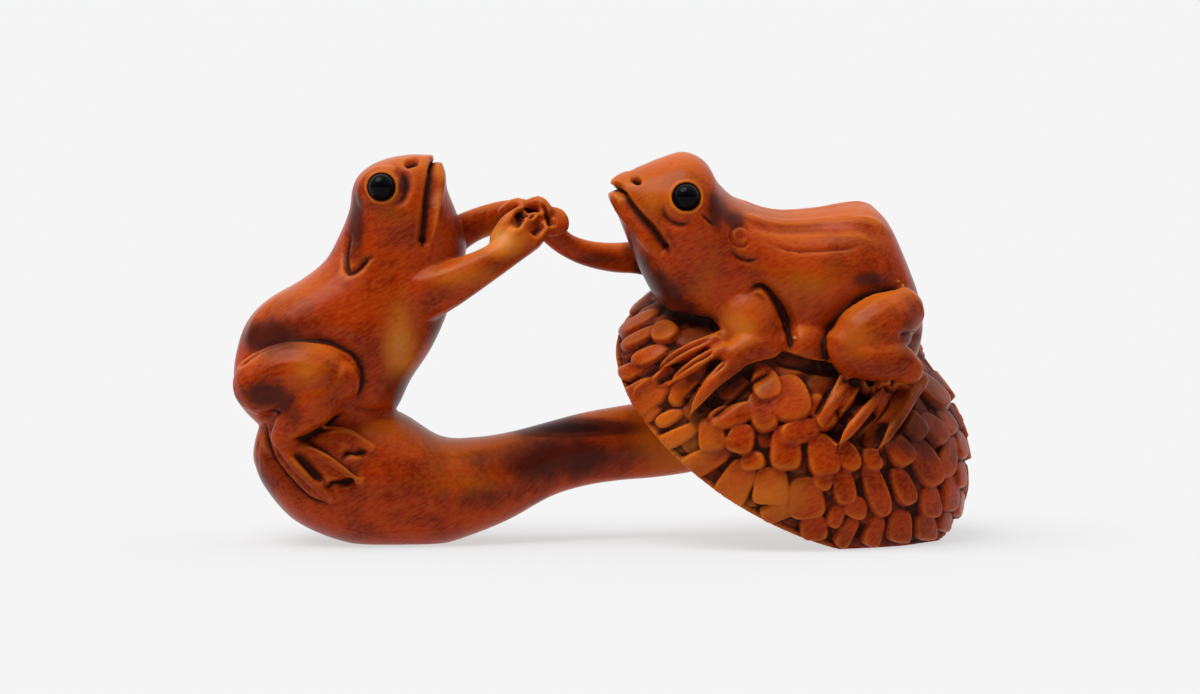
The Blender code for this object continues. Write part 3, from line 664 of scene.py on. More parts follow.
    def on_dome(self, along: float, across: float, lift: float = 0.0) -> Points:
        """Gives the point of the dome at shares of its half length and half width.

        Args:
            along: Share of the half length, down the slope.
            across: Share of the half width, minus towards the front.
            lift: How far the point stands off the dome.

        Returns:
            The point.
        """
        up = math.sqrt(max(1 - along**2 - across**2, 0.0))
        off_centre = np.array((along, across, up)) * self.sizes @ self.axes
        return self.snap(np.array(self.centre) + off_centre, lift)

    def bulb(self, x: float, z: float, lift: float = 0.0) -> Points:
        """Gives the point of the bulb that shows at (x, z) in the front view.

        Args:
            x: Place along the netsuke.
            z: Height in the front view.
            lift: How far the point stands off the bulb.

        Returns:
            The point.
        """
        rows = np.array([one.row() for one in self.stalk])
        top = np.interp(x, rows[:, 0], rows[:, 1])
        bottom = np.interp(x, rows[:, 2], rows[:, 3])
        depth = np.interp(x, rows[:, 0], rows[:, 4])
        height = z
        for _ in range(3):
            share = min(abs(height - (top + bottom) / 2) / ((top - bottom) / 2), self.bulb_edge)
            y = -depth * (1 - share**Body.squareness) ** (1 / Body.squareness) - lift
            height = z - FRONT_SLOPE * y
        return seen(x, z, y)

    def cap_mesh(self) -> Mesh:
        """Turns the cap's profile: dome, rounded lip and hollow underside.

        Returns:
            The cap in place.
        """
        rim, hollow = self.rim / self.height, self.hollow / self.height
        profile = [
            (math.sin(angle), math.cos(angle) * (1.0 + self.rim_drop * rim) - self.rim_drop * rim)
            for angle in np.linspace(0.0, QUARTER_TURN, 28)
        ]
        edge, low = self.lip_edge
        profile += [(edge, -low * rim), (self.hollow_reach, -self.lip_low * rim)]
        for radius in np.linspace(self.hollow_start, 0.0, 12):
            rise = math.sqrt(max(1.0 - (radius / self.hollow_reach) ** 2, 0.0))
            profile.append((radius, -self.lip_low * rim + hollow * rise))
        shape = bmesh.new()
        corners = [shape.verts.new((radius, 0.0, height)) for radius, height in profile]
        for first, second in zip(corners, corners[1:]):
            shape.edges.new((first, second))
        geometry = shape.verts[:] + shape.edges[:]
        bmesh.ops.spin(
            shape, geom=geometry, axis=(0, 0, 1), cent=(0, 0, 0),
            angle=2 * math.pi, steps=self.turned_steps, use_merge=True,
        )
        bmesh.ops.remove_doubles(shape, verts=shape.verts, dist=1e-4)
        bmesh.ops.recalc_face_normals(shape, faces=shape.faces)
        mesh = mesh_of(shape, "cap")
        turn = Matrix([list(row) for row in self.axes.T]).to_4x4()
        place = Matrix.Translation(Vector(self.centre)) @ turn
        mesh.transform(place @ Matrix.Diagonal((*self.sizes, 1.0)))
        return mesh

    def meshes(self) -> list[Mesh]:
        """The cap, and the stalk with its bulb."""
        return [self.cap_mesh(), Body(self.stalk).mesh()]

    def relief(self, points: Points) -> tuple[Points, Points, Points]:
        """Works out the cap's scales and gills.

        Args:
            points: Points of the skin.

        Returns:
            How far each point is raised, how deep in a groove it lies from 0 to 1, and whether
            it is on the dome.
        """
        share = self.shares(points)
        radius = np.linalg.norm(share, axis=1)
        across = np.hypot(share[:, 0], share[:, 1])
        off = (1 - 1 / radius) * np.linalg.norm(share * self.sizes, axis=1)
        dome = (share[:, 2] > self.dome_edge) & (np.abs(off) < self.relief_reach)
        polar = np.arctan2(across, share[:, 2])
        turn = np.arctan2(share[:, 1], share[:, 0])
        mean = float(self.sizes.mean())
        lift, groove = np.zeros(len(points)), np.zeros(len(points))
        height = self.scales.field(polar[dome] * mean, turn[dome], polar[dome], mean)
        flat = np.column_stack([points[dome, 0], points[dome, 2] + FRONT_SLOPE * points[dome, 1]])
        ahead = (share[dome] / self.sizes) @ self.axes
        ahead = np.clip(-ahead[:, 1] / np.linalg.norm(ahead, axis=1) * self.front_gain, 0, 1)
        front = np.max([plate.height(flat, self.plate_edge) for plate in self.plates], axis=0)
        height = height * (1 - ahead) + np.maximum(front, self.between * height) * ahead
        fade = np.clip(2 * (1 - np.maximum(off[dome], 0) / self.relief_reach), 0, 1)
        lift[dome] = (height - self.level) * self.scales.rise * fade
        # Channels between the scales darkened: painted shade, with some stain
        groove[dome] = np.clip(1.0 - height / self.groove_top, 0, 1) * fade * self.groove_tone
        drop = self.hollow / self.height * np.sqrt(np.clip(1 - (across / self.hollow_reach) ** 2, 0, 1))
        floor = drop - self.lip_low * self.rim / self.height
        under = np.abs(share[:, 2] - floor) < self.gill_band
        under &= (across < self.gill_to) & (across > self.gill_from)
        inner, outer = self.gill_fades
        fade = np.clip((across[under] - self.gill_from) / inner, 0, 1)
        fade = fade * np.clip((self.gill_to - across[under]) / outer, 0, 1)
        wave = 0.5 + 0.5 * np.cos(turn[under] * self.gills)
        lift[under] -= self.gill_depth * wave * fade
        # Gills darkened between their ridges as painted shade
        groove[under] = self.gill_tone * wave * fade
        return lift, groove, dome


@dataclass(frozen=True)
class Eye:
    """The seat of a bead: it is let in along its gaze, with a raised lid round it."""

    node: str
    diameter: float = 2.0
    lid_rise: float = 0.12
    lid_width: float = 0.34
    seat_gap: float = 0.03
    seat_depth: float = 1.6
    gap_shade: float = 0.1
    bead_sides: int = 48

    @property
    def centre(self) -> Points:
        """The bead's centre in the CAD frame, in metres."""
        low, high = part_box(self.node)
        return (np.array(low) + np.array(high)) / 2

    def seat(self, points: Points, gaze: Points, offset: Points) -> tuple[Points, Points]:
        """Sinks the skin behind the bead, and raises the lid round it.

        Args:
            points: Points of the skin.
            gaze: The way the bead looks, out of the head.
            offset: What takes the CAD frame, in millimetres, to the carver's frame.

        Returns:
            The points, and how deep each lies in the seat, from 0 to 1, which is painted as shade under
            the bead and in a thin ring round it.
        """
        inward = -gaze / np.linalg.norm(gaze)
        centre = self.centre / METRES + offset
        rel = points - centre
        depth = rel @ inward
        aside = np.linalg.norm(rel - np.outer(depth, inward), axis=1)
        reach = self.diameter / 2 + self.seat_gap
        close = np.abs(depth) < self.seat_depth
        under = close & (aside < reach)
        back = np.sqrt(np.clip(reach**2 - aside**2, 0, None))
        points = points + np.outer(np.where(under, np.maximum(back - depth, 0), 0), inward)
        band = (aside - reach - 0.5 * self.lid_width) / (0.5 * self.lid_width)
        lid = np.where(close & ~under, np.clip(1 - band**2, 0, 1), 0) * self.lid_rise
        # A thin ring of painted shade round the bead, with no cut in the skin
        gap_shade = np.where(close & ~under, np.clip(1 - (aside - reach) / self.gap_shade, 0, 1), 0)
        return points - np.outer(lid, inward), np.maximum(under * 1.0, gap_shade)

    def bead(self, finish: bpy.types.Material) -> bpy.types.Object:
        """Makes the bead that stands for its CAD node.

        Args:
            finish: The bead's material.

        Returns:
            The bead.
        """
        shape = bmesh.new()
        turn = Matrix.Rotation(QUARTER_TURN, 4, "X")
        bmesh.ops.create_uvsphere(
            shape, u_segments=self.bead_sides, v_segments=self.bead_sides // 2,
            radius=self.diameter / 2 * METRES, matrix=turn,
        )
        mesh = mesh_of(shape, self.node + "_bead")
        mesh.transform(Matrix.Translation(Vector(self.centre)))
        mesh.shade_smooth()
        mesh.materials.append(finish)
        bead = put_in_scene(self.node + "_bead", mesh)
        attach(bead, "root")
        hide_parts(self.node)
        return bead


@dataclass(frozen=True)
class Frog:
    """What both frogs share: a body, two brows, and hind legs that a middle plane mirrors."""

    mushroom: Mushroom
    plane: MiddlePlane
    brow: tuple
    brow_radii: tuple
    body: tuple[Section, ...]

    def legs(self) -> list[Limb]:
        """The near hind leg, which the middle plane mirrors."""
        raise NotImplementedError

    def toes(self) -> list[Limb]:
        """Toes that aren't mirrored, because they follow the ground on each side."""
        return []

    def arms(self) -> list[Limb]:
        """Both forelegs."""
        raise NotImplementedError

    def meshes(self) -> list[Mesh]:
        """Builds all the frog's forms.

        Returns:
            A mesh for each form.
        """
        legs, brow = self.legs(), seen(*self.brow)
        forms = [Body(self.body, self.plane)] + legs + [limb.mirrored(self.plane) for limb in legs]
        forms += self.toes() + self.arms()
        forms += [Ball(tuple(at), self.brow_radii) for at in (brow, self.plane.mirror(brow))]
        return [form.mesh() for form in forms]


@dataclass(frozen=True)
class LeftFrog(Frog):
    """The frog that squats upright on the bulb, with both forelegs stretched to the hands."""

    plane: MiddlePlane = MiddlePlane(-17.0, 20.0, 0.0, 0.0)
    brow: tuple = (-16.7, 26.4, -3.0)
    brow_radii: tuple = (2.1, 1.6, 2.1)
    body: tuple[Section, ...] = tuple(Section(*row) for row in (
        (-26.0, 8.6, -17.0, 8.6, 4.6), (-27.7, 10.4, -15.7, 10.4, 5.2),
        (-28.2, 12.3, -14.8, 12.3, 5.7), (-28.0, 14.4, -13.4, 14.4, 5.8),
        (-27.2, 16.7, -12.4, 16.4, 5.6), (-25.6, 18.4, -11.7, 18.3, 5.2),
        (-23.2, 19.8, -11.1, 20.1, 4.8), (-21.3, 21.3, -10.6, 21.9, 4.5),
        (-20.2, 23.2, -10.7, 23.3, 4.5), (-19.4, 25.2, -11.4, 25.2, 4.6),
        (-19.2, 26.7, -12.0, 26.7, 4.4), (-18.7, 27.8, -12.1, 27.7, 3.9),
        (-17.7, 28.6, -12.3, 28.5, 3.2), (-16.4, 29.1, -12.6, 29.0, 2.4),
        (-15.0, 29.35, -12.9, 29.3, 1.5),
    ))

    def legs(self) -> list[Limb]:
        """Lays out thigh, shin and toes of the near hind leg, and the webs between the toes.

        Returns:
            The limbs.
        """
        bulb = self.mushroom.bulb
        thigh = Limb.shown(
            (-25.6, 12.0, -4.8, 2.5), (-23.2, 12.8, -5.4, 2.6),
            (-21.2, 12.6, -5.8, 2.3), (-20.1, 12.2, -6.0, 1.7),
        )
        shin = Limb.shown(
            (-20.9, 12.0, -6.0, 1.8), (-21.9, 10.7, -6.1, 1.9),
            (-23.3, 9.2, -6.0, 1.5), (-24.2, 8.0, -5.8, 1.0),
        )
        heel = (*bulb(-24.0, 7.6, 0.6), 0.9)
        toes = (
            ((-22.9, 5.8), (-20.7, 3.5)), ((-20.9, 6.5), (-18.4, 4.7)), ((-19.9, 8.2), (-17.6, 7.1)),
        )
        webs = (((-22.2, 6.4), (-20.5, 4.7)), ((-20.6, 7.3), (-18.9, 6.5)))
        limbs = [thigh, shin]
        for middle, tip in toes:
            limbs.append(Limb((heel, (*bulb(*middle, 0.6), 0.62), (*bulb(*tip, 0.15), 0.4))))
        for middle, tip in webs:
            limbs.append(Limb((heel, (*bulb(*middle, -0.05), 0.95), (*bulb(*tip, -0.25), 0.8))))
        return limbs

    def arms(self) -> list[Limb]:
        """Lays out both forelegs, from the shoulders to the joined hands.

        Returns:
            The near one and the far one.
        """
        near = Limb.shown(
            (-15.6, 18.4, -2.0, 2.4), (-13.8, 18.9, -2.8, 2.3), (-12.0, 19.5, -3.3, 1.9),
            (-10.2, 20.3, -3.3, 1.5), (-8.3, 21.4, -2.8, 1.25), (-6.9, 22.5, -2.1, 1.3),
            (-5.8, 23.3, -1.6, 1.3),
        )
        far = Limb.shown(
            (-14.2, 21.0, 3.4, 2.0), (-12.2, 22.8, 3.6, 1.5), (-10.2, 24.0, 3.0, 1.25),
            (-8.0, 24.7, 2.0, 1.2), (-6.4, 25.0, 1.1, 1.05),
        )
        return [near, far]

    def notch(self) -> Cut:
        """The gap of the lips at the tip of the snout, cut all round."""
        return Cut(((-12.5, 30.6), (-12.72, 29.4), (-12.95, 28.0)), 0.36, 0.6, run_out=0.25)

    def cuts(self) -> tuple[Cut, ...]:
        """The cuts of the near side, which the far side repeats."""
        return (
            # Mouth, its deep corner, and the lip beside it
            Cut(((-12.75, 29.6), (-12.85, 28.5), (-13.25, 26.1), (-13.6, 23.5), (-13.72, 22.5)),
                0.56, 0.6, run_out=0.25),
            Cut(((-13.7, 22.6), (-13.72, 22.45)), 0.42, 0.3),
            Cut(((-12.25, 28.9), (-12.4, 26.8), (-12.75, 24.6), (-13.05, 22.9)), 0.3, -0.26, 0.0),
            # Scoop before the eye, the lid's crease and the nostril
            Cut(((-15.9, 28.1), (-15.1, 27.6), (-14.95, 26.7), (-15.35, 25.8), (-16.2, 25.4)),
                0.5, 0.32, 0.75),
            Cut(((-18.15, 27.6), (-18.3, 26.6), (-17.7, 25.7)), 0.22, 0.14, 0.7),
            Cut(((-14.85, 28.6), (-14.35, 28.75)), 0.38, 0.6),
            # Ear, a tongue that points down, dark round its tip
            Cut(((-19.2, 23.5), (-19.47, 22.4), (-19.57, 21.4), (-19.3, 20.4), (-18.56, 20.7),
                 (-17.93, 21.4), (-17.25, 21.66)), 0.34, 0.34),
            Cut(((-18.9, 22.8), (-18.8, 21.5)), 0.55, -0.2, 0.0),
            # Thigh's outline, the fold of the knee and the buttock
            Cut(((-27.7, 13.3), (-26.1, 14.5), (-24.2, 15.25), (-22.3, 15.4), (-20.5, 15.1),
                 (-18.9, 14.1), (-18.2, 12.9), (-18.3, 11.6), (-18.8, 10.5)), 0.3, 0.45, 0.8, 1.6),
            Cut(((-26.2, 11.9), (-25.0, 11.6), (-23.8, 11.4)), 1.0, 0.3, 0.35),
            Cut(((-26.1, 9.4), (-25.0, 9.8), (-24.3, 9.9)), 0.28, 0.3),
            Cut(((-19.5, 13.7), (-19.9, 12.4), (-20.6, 10.9)), 0.5, -0.2, 0.0),
            Cut(((-20.4, 10.2), (-21.4, 9.3), (-22.8, 8.6), (-23.9, 8.0)), 0.36, -0.2, 0.0),
            Cut(((-26.0, 8.6), (-26.3, 7.0), (-26.2, 5.2)), 0.16, 0.14, 0.5),
            # Shin's lower edge, with the hollow under it
            Cut(((-19.6, 9.9), (-20.9, 8.9), (-22.3, 8.0), (-23.5, 7.7)), 0.24, 0.45, 0.95, 0.9),
            # Foot: outline, then the creases beside the toes and under the webs
            Cut(((-25.75, 9.0), (-25.5, 8.0), (-24.9, 6.3), (-23.8, 4.9), (-22.3, 3.4), (-20.6, 2.8)),
                0.22, 0.4, 0.9, -0.9),
            Cut(((-23.5, 7.0), (-22.4, 5.9), (-21.2, 4.6)), 0.5, 0.45, 0.9, run_out=0.6),
            Cut(((-22.4, 7.8), (-20.4, 6.7), (-18.2, 4.9)), 0.3, 0.3, 0.9, run_out=0.6),
            Cut(((-21.0, 4.1), (-20.3, 4.5), (-18.8, 4.6)), 0.4, 0.6, 1.0, -0.7, 0.6),
            Cut(((-19.8, 6.4), (-19.1, 6.9), (-17.9, 6.75)), 0.4, 0.55, 1.0, -0.6, 0.6),
            # Where the belly meets the bulb, and the back's ridge
            Cut(((-19.3, 10.6), (-17.8, 9.9), (-16.2, 10.1)), 0.4, 0.25, 0.5),
            Cut(((-21.6, 22.0), (-24.0, 20.0), (-26.2, 17.2), (-27.1, 14.6)), 0.5, -0.2, 0.0),
            Cut(((-13.6, 20.5), (-12.2, 20.9), (-10.8, 21.5)), 0.5, 0.12, 0.3),
        )


@dataclass(frozen=True)
class RightFrog(Frog):
    """The frog that sits on the cap, its near foreleg down and its far one stretched out."""

    plane: MiddlePlane = MiddlePlane(14.0, 19.0, 14.0, 7.0)
    brow: tuple = (6.2, 25.8, -3.2)
    brow_radii: tuple = (2.2, 1.7, 2.1)
    body: tuple[Section, ...] = tuple(Section(*row) for row in (
        (0.4, 27.4, 0.2, 25.9, 0.9), (1.2, 27.8, 0.9, 24.7, 2.0), (2.6, 28.3, 1.8, 22.5, 3.2),
        (4.2, 29.0, 2.9, 20.0, 4.2), (5.9, 29.5, 4.2, 18.0, 4.8), (7.4, 28.8, 6.4, 16.7, 5.0),
        (8.4, 27.2, 8.3, 15.3, 5.1), (10.0, 25.9, 10.3, 14.2, 5.3), (12.6, 25.1, 12.8, 13.0, 5.7),
        (15.5, 25.2, 15.5, 12.4, 6.0), (18.1, 25.6, 18.5, 11.9, 6.0), (19.9, 25.5, 20.8, 11.9, 5.6),
        (21.2, 24.4, 22.7, 12.6, 4.8), (22.3, 22.2, 23.6, 14.5, 3.8), (23.3, 19.8, 23.9, 16.1, 2.5),
    ))

    def legs(self) -> list[Limb]:
        """Thigh and shin of the near hind leg."""
        return [
            Limb.shown(
                (22.0, 17.4, -4.0, 2.0), (20.8, 16.5, -5.0, 2.5),
                (19.2, 15.5, -5.8, 2.4), (18.2, 14.8, -6.2, 1.9),
            ),
            Limb.shown(
                (18.4, 14.2, -6.4, 1.7), (20.0, 13.9, -6.7, 1.7),
                (21.6, 13.7, -6.6, 1.5), (22.6, 13.1, -6.3, 1.2),
            ),
        ]

    def toes(self) -> list[Limb]:
        """Lays the long toes of both hind feet, and the webs between them, on the cap.

        Returns:
            The limbs.
        """
        on_dome, snap = self.mushroom.on_dome, self.mushroom.snap
        toes = (
            ((0.095, -0.44), (0.089, -0.603), (0.084, -0.70)),
            ((0.265, -0.30), (0.238, -0.58), (0.217, -0.735)),
            ((0.43, -0.05), (0.418, -0.387), (0.407, -0.61)),
        )
        webs = (
            ((0.17, -0.40), (0.173, -0.55), (0.165, -0.66)),
            ((0.35, -0.20), (0.343, -0.42), (0.322, -0.57)),
        )
        limbs = []
        for places, sizes in (
            (toes, ((0.6, 0.65), (0.5, 0.52), (0.05, 0.34))),
            (webs, ((0.0, 0.8), (-0.2, 0.8), (-0.5, 0.65))),
        ):
            for stops in places:
                near = tuple(
                    (*on_dome(*place, lift), radius) for place, (lift, radius) in zip(stops, sizes)
                )
                far = tuple(
                    (*snap(self.plane.mirror(np.array(stop[:3])), lift), stop[3])
                    for stop, (lift, _) in zip(near, sizes)
                )
                limbs += [Limb(near), Limb(far)]
        return limbs

    def arms(self) -> list[Limb]:
        """Lays out the near foreleg with its fingers and webs on the cap, and the far foreleg.

        Returns:
            The limbs, with the belly's fold.
        """
        on_dome = self.mushroom.on_dome
        limbs = [
            Limb.shown(
                (9.4, 18.4, -3.2, 2.2), (10.6, 17.0, -4.4, 2.5),
                (11.4, 15.6, -5.2, 2.2), (11.8, 14.7, -5.7, 1.7),
            ),
            # The belly's fold between foreleg and thigh
            Limb.shown((13.3, 14.9, -4.6, 1.9), (15.0, 14.7, -4.5, 2.1), (16.8, 14.5, -4.2, 2.0)),
            Limb((
                (*seen(12.0, 14.9, -5.6), 1.6),
                (*seen(10.8, 14.6, -6.2), 1.6),
                (*on_dome(-0.44, -0.56, 0.4), 1.15),
            )),
            Limb.shown(
                (6.8, 20.6, 3.2, 2.0), (4.6, 21.3, 3.8, 1.6), (2.6, 21.6, 3.2, 1.3),
                (0.6, 21.6, 2.4, 1.15), (-1.4, 21.9, 1.5, 1.0), (-3.1, 22.6, 0.8, 0.9),
                (-4.2, 23.6, 0.3, 1.0),
            ),
        ]
        digits = (
            ((-0.54, -0.47, 0.4, 0.6), (-0.67, -0.57, 0.4, 0.5), (-0.776, -0.628, 0.0, 0.34)),
            ((-0.49, -0.54, 0.5, 0.65), (-0.59, -0.64, 0.45, 0.5), (-0.655, -0.699, 0.0, 0.34)),
            ((-0.42, -0.60, 0.55, 0.75), (-0.474, -0.73, 0.5, 0.55), (-0.49, -0.832, 0.0, 0.36)),
            ((-0.53, -0.52, -0.1, 0.7), (-0.62, -0.60, -0.3, 0.7), (-0.69, -0.66, -0.55, 0.6)),
            ((-0.46, -0.59, -0.1, 0.75), (-0.53, -0.68, -0.3, 0.75), (-0.57, -0.76, -0.55, 0.6)),
        )
        for stops in digits:
            limbs.append(Limb(tuple((*on_dome(*stop[:3]), stop[3]) for stop in stops)))
        return limbs

    def notch(self) -> Cut:
        """The gap of the lips at the tip of the snout, cut all round."""
        return Cut(((-1.2, 26.95), (0.3, 26.75), (1.3, 26.1)), 0.36, 0.65, run_out=0.25)

    def cuts(self) -> tuple[Cut, ...]:
        """The cuts of the near side, which the far side repeats."""
        return (
            # Mouth, its corner and the lower lip
            Cut(((0.1, 26.75), (0.78, 26.7), (2.0, 25.0), (3.33, 23.55), (4.47, 21.95)),
                0.5, 0.6, run_out=0.25),
            Cut(((4.4, 22.1), (4.55, 21.9)), 0.4, 0.3),
            Cut(((0.25, 25.9), (1.5, 24.3), (2.9, 22.6), (4.05, 21.3)), 0.3, -0.24, 0.0),
            # Nostril, dimple of the brow, and the scoop and crease under the eye
            Cut(((2.1, 27.4), (2.35, 27.24)), 0.34, 0.6),
            Cut(((4.75, 28.65), (4.85, 28.6)), 0.32, 0.2, 0.5),
            Cut(((4.25, 25.8), (4.35, 24.6), (5.3, 23.95), (6.7, 24.1)), 0.46, 0.32, 0.75),
            Cut(((6.95, 24.9), (7.6, 24.3), (8.3, 23.7)), 0.24, 0.22),
            # Ear drum and the fold under it
            Cut(((9.1, 22.4), (9.9, 21.5), (11.05, 21.3), (11.75, 21.9)), 0.3, 0.28, 0.8, -0.7),
            Cut(((10.85, 23.1), (10.6, 23.65), (10.1, 23.88), (9.55, 23.65), (9.3, 23.1), (9.55, 22.5),
                 (10.1, 22.3), (10.6, 22.5), (10.85, 23.1)), 0.2, 0.15, 0.55),
            Cut(((10.1, 23.1), (10.05, 23.05)), 0.4, 0.12, 0.5),
            # Folds of the back
            Cut(((10.0, 24.75), (12.0, 24.45), (14.3, 24.3), (17.6, 24.6), (19.8, 24.4), (21.4, 23.4)),
                0.5, -0.24, 0.0),
            Cut(((10.8, 23.9), (13.0, 23.55), (16.0, 23.6), (19.0, 23.6), (20.8, 22.8)), 0.5, 0.16, 0.3),
            Cut(((12.4, 22.4), (13.8, 22.05), (15.2, 21.95), (18.9, 22.2)), 0.2, 0.12, 0.85),
            # Behind the upper arm, and the soft fold at the breast
            Cut(((10.6, 19.1), (11.7, 19.3), (12.7, 18.3), (13.5, 16.8), (13.76, 15.2), (13.8, 14.2)),
                0.4, 0.7, 1.0, 0.9),
            Cut(((8.4, 17.0), (8.2, 16.3), (8.9, 15.4)), 0.3, 0.2, 0.6),
            # Thigh's outline, fold of the knee and rump
            Cut(((22.6, 19.3), (20.7, 19.0), (18.9, 18.35), (17.4, 16.9), (16.4, 15.6), (16.3, 14.2),
                 (17.2, 12.7), (18.8, 12.1), (21.0, 11.7), (22.8, 11.6)), 0.3, 0.45, 0.8, -1.6),
            Cut(((23.8, 15.6), (22.6, 15.7), (21.8, 15.6)), 0.45, 0.4, 0.6),
        )

    def ground_cuts(self) -> tuple[Cut, ...]:
        """The pits under the webs and the creases beside the digits, near side only."""
        return (
            Cut(((7.75, 14.55), (6.9, 14.05), (5.9, 13.4), (4.6, 12.6), (3.6, 11.8)),
                0.42, 0.42, 0.8, run_out=0.5),
            Cut(((7.6, 14.5), (7.0, 14.1)), 0.4, 0.25),
            Cut(((8.55, 13.75), (7.7, 13.1), (6.8, 12.3), (5.9, 11.2), (5.5, 10.4)),
                0.5, 0.5, 0.8, run_out=0.5),
            Cut(((8.4, 13.6), (7.8, 13.15)), 0.45, 0.25),
            Cut(((6.7, 11.75), (6.35, 11.45)), 0.4, 0.3),
            Cut(((12.6, 13.2), (10.8, 12.1), (9.2, 10.6), (7.4, 9.1)), 0.24, 0.4, 0.9, 0.7),
            Cut(((7.9, 15.5), (5.8, 14.5), (4.0, 13.3), (2.6, 12.3)), 0.24, 0.3, 0.9, -0.6),
            # Where the belly meets the cap
            Cut(((12.6, 13.8), (13.8, 13.5), (15.4, 13.2), (17.2, 12.8)), 0.26, 0.25),
            Cut(((19.9, 11.9), (18.8, 10.6), (17.6, 9.3), (16.7, 8.1)), 0.5, 0.5, 0.8, run_out=0.5),
            Cut(((19.75, 11.7), (19.2, 11.0)), 0.45, 0.25),
            Cut(((18.1, 9.8), (17.7, 9.5)), 0.42, 0.35),
            Cut(((22.4, 11.9), (21.3, 10.5), (20.2, 9.0), (19.2, 7.5)), 0.5, 0.5, 0.8, run_out=0.5),
            Cut(((22.2, 11.6), (21.7, 11.0)), 0.45, 0.25),
            Cut(((19.9, 8.7), (19.6, 8.4)), 0.4, 0.3),
            Cut(((16.9, 11.9), (16.2, 10.7), (15.4, 9.4)), 0.22, 0.3),
            Cut(((24.0, 12.0), (22.9, 9.6), (21.4, 7.6)), 0.24, 0.3),
        )


@dataclass(frozen=True)
class JoinedHands:
    """The cluster of joined hands between the frogs: three palms and their fingers."""

    plane: MiddlePlane = MiddlePlane(-5.0, 24.0, 0.0, 0.0)
    palms: tuple[Ball, ...] = (
        Ball(tuple(seen(-5.9, 23.5, -1.3)), (1.5, 0.8, 1.3), 45),
        Ball(tuple(seen(-4.8, 24.2, 0.1)), (1.4, 1.0, 1.1), 20),
        Ball(tuple(seen(-6.3, 24.7, 0.6)), (1.4, 0.8, 0.8), 0),
    )
    fingers: tuple[Limb, ...] = (
        # Near hand of the left frog, palm away
        Limb.shown((-8.1, 22.9, -2.2, 0.75), (-7.4, 24.2, -2.0, 0.6), (-6.5, 25.0, -1.5, 0.45)),
        Limb.shown((-6.9, 23.2, -2.8, 0.6), (-6.1, 24.1, -2.3, 0.5), (-5.4, 24.6, -1.7, 0.42)),
        Limb.shown((-5.6, 22.7, -2.4, 0.65), (-4.7, 23.6, -2.0, 0.55), (-4.0, 24.1, -1.4, 0.45)),
        # Its far hand, over the top
        Limb.shown((-7.6, 24.9, 0.4, 0.7), (-6.8, 25.5, -0.3, 0.6), (-6.2, 25.5, -0.8, 0.5)),
        # Curled fingers of the right frog
        Limb.shown((-6.2, 25.2, 0.2, 0.6), (-5.1, 25.7, -0.6, 0.55), (-4.5, 25.0, -1.2, 0.5),
                   (-5.0, 24.5, -1.4, 0.4)),
        Limb.shown((-4.6, 24.9, -0.2, 0.6), (-3.6, 24.7, -0.7, 0.6), (-3.3, 23.9, -1.1, 0.55),
                   (-4.1, 23.5, -1.3, 0.45)),
    )

    def meshes(self) -> list[Mesh]:
        """All the forms of the hands."""
        return [form.mesh() for form in self.palms + self.fingers]

    def cuts(self) -> tuple[Cut, ...]:
        """The cuts between the fingers."""
        return (
            Cut(((-6.45, 24.9), (-6.6, 24.4), (-6.85, 23.75)), 0.5, 0.45, 0.45, run_out=0.3),
            Cut(((-4.85, 24.2), (-5.1, 23.75), (-5.5, 23.15)), 0.55, 0.5, 0.45, run_out=0.3),
            Cut(((-6.5, 24.9), (-6.1, 24.95), (-5.6, 24.8)), 0.36, 0.6),
            Cut(((-4.35, 24.7), (-4.25, 24.3), (-4.0, 24.1)), 0.34, 0.6),
            Cut(((-4.75, 25.4), (-4.45, 24.9)), 0.26, 0.3),
            Cut(((-9.0, 23.9), (-8.5, 24.4), (-8.1, 25.3)), 0.3, 0.2, 0.7),
        )


@dataclass(frozen=True)
class ColourPatch:
    """A patch of changed colour, as the front view shows it: used for thicker stain, for worn stain and
    for painted shade.
    """

    x: float
    z: float
    wide: float
    high: float
    strength: float

    def at(self, points: Points) -> Points:
        """Gives how strong the patch is.

        Args:
            points: Points of the skin.

        Returns:
            The strength at each.
        """
        across = (points[:, 0] - self.x) / self.wide
        up = (points[:, 2] + FRONT_SLOPE * points[:, 1] - self.z) / self.high
        return self.strength * np.exp(-(across**2) - up**2)


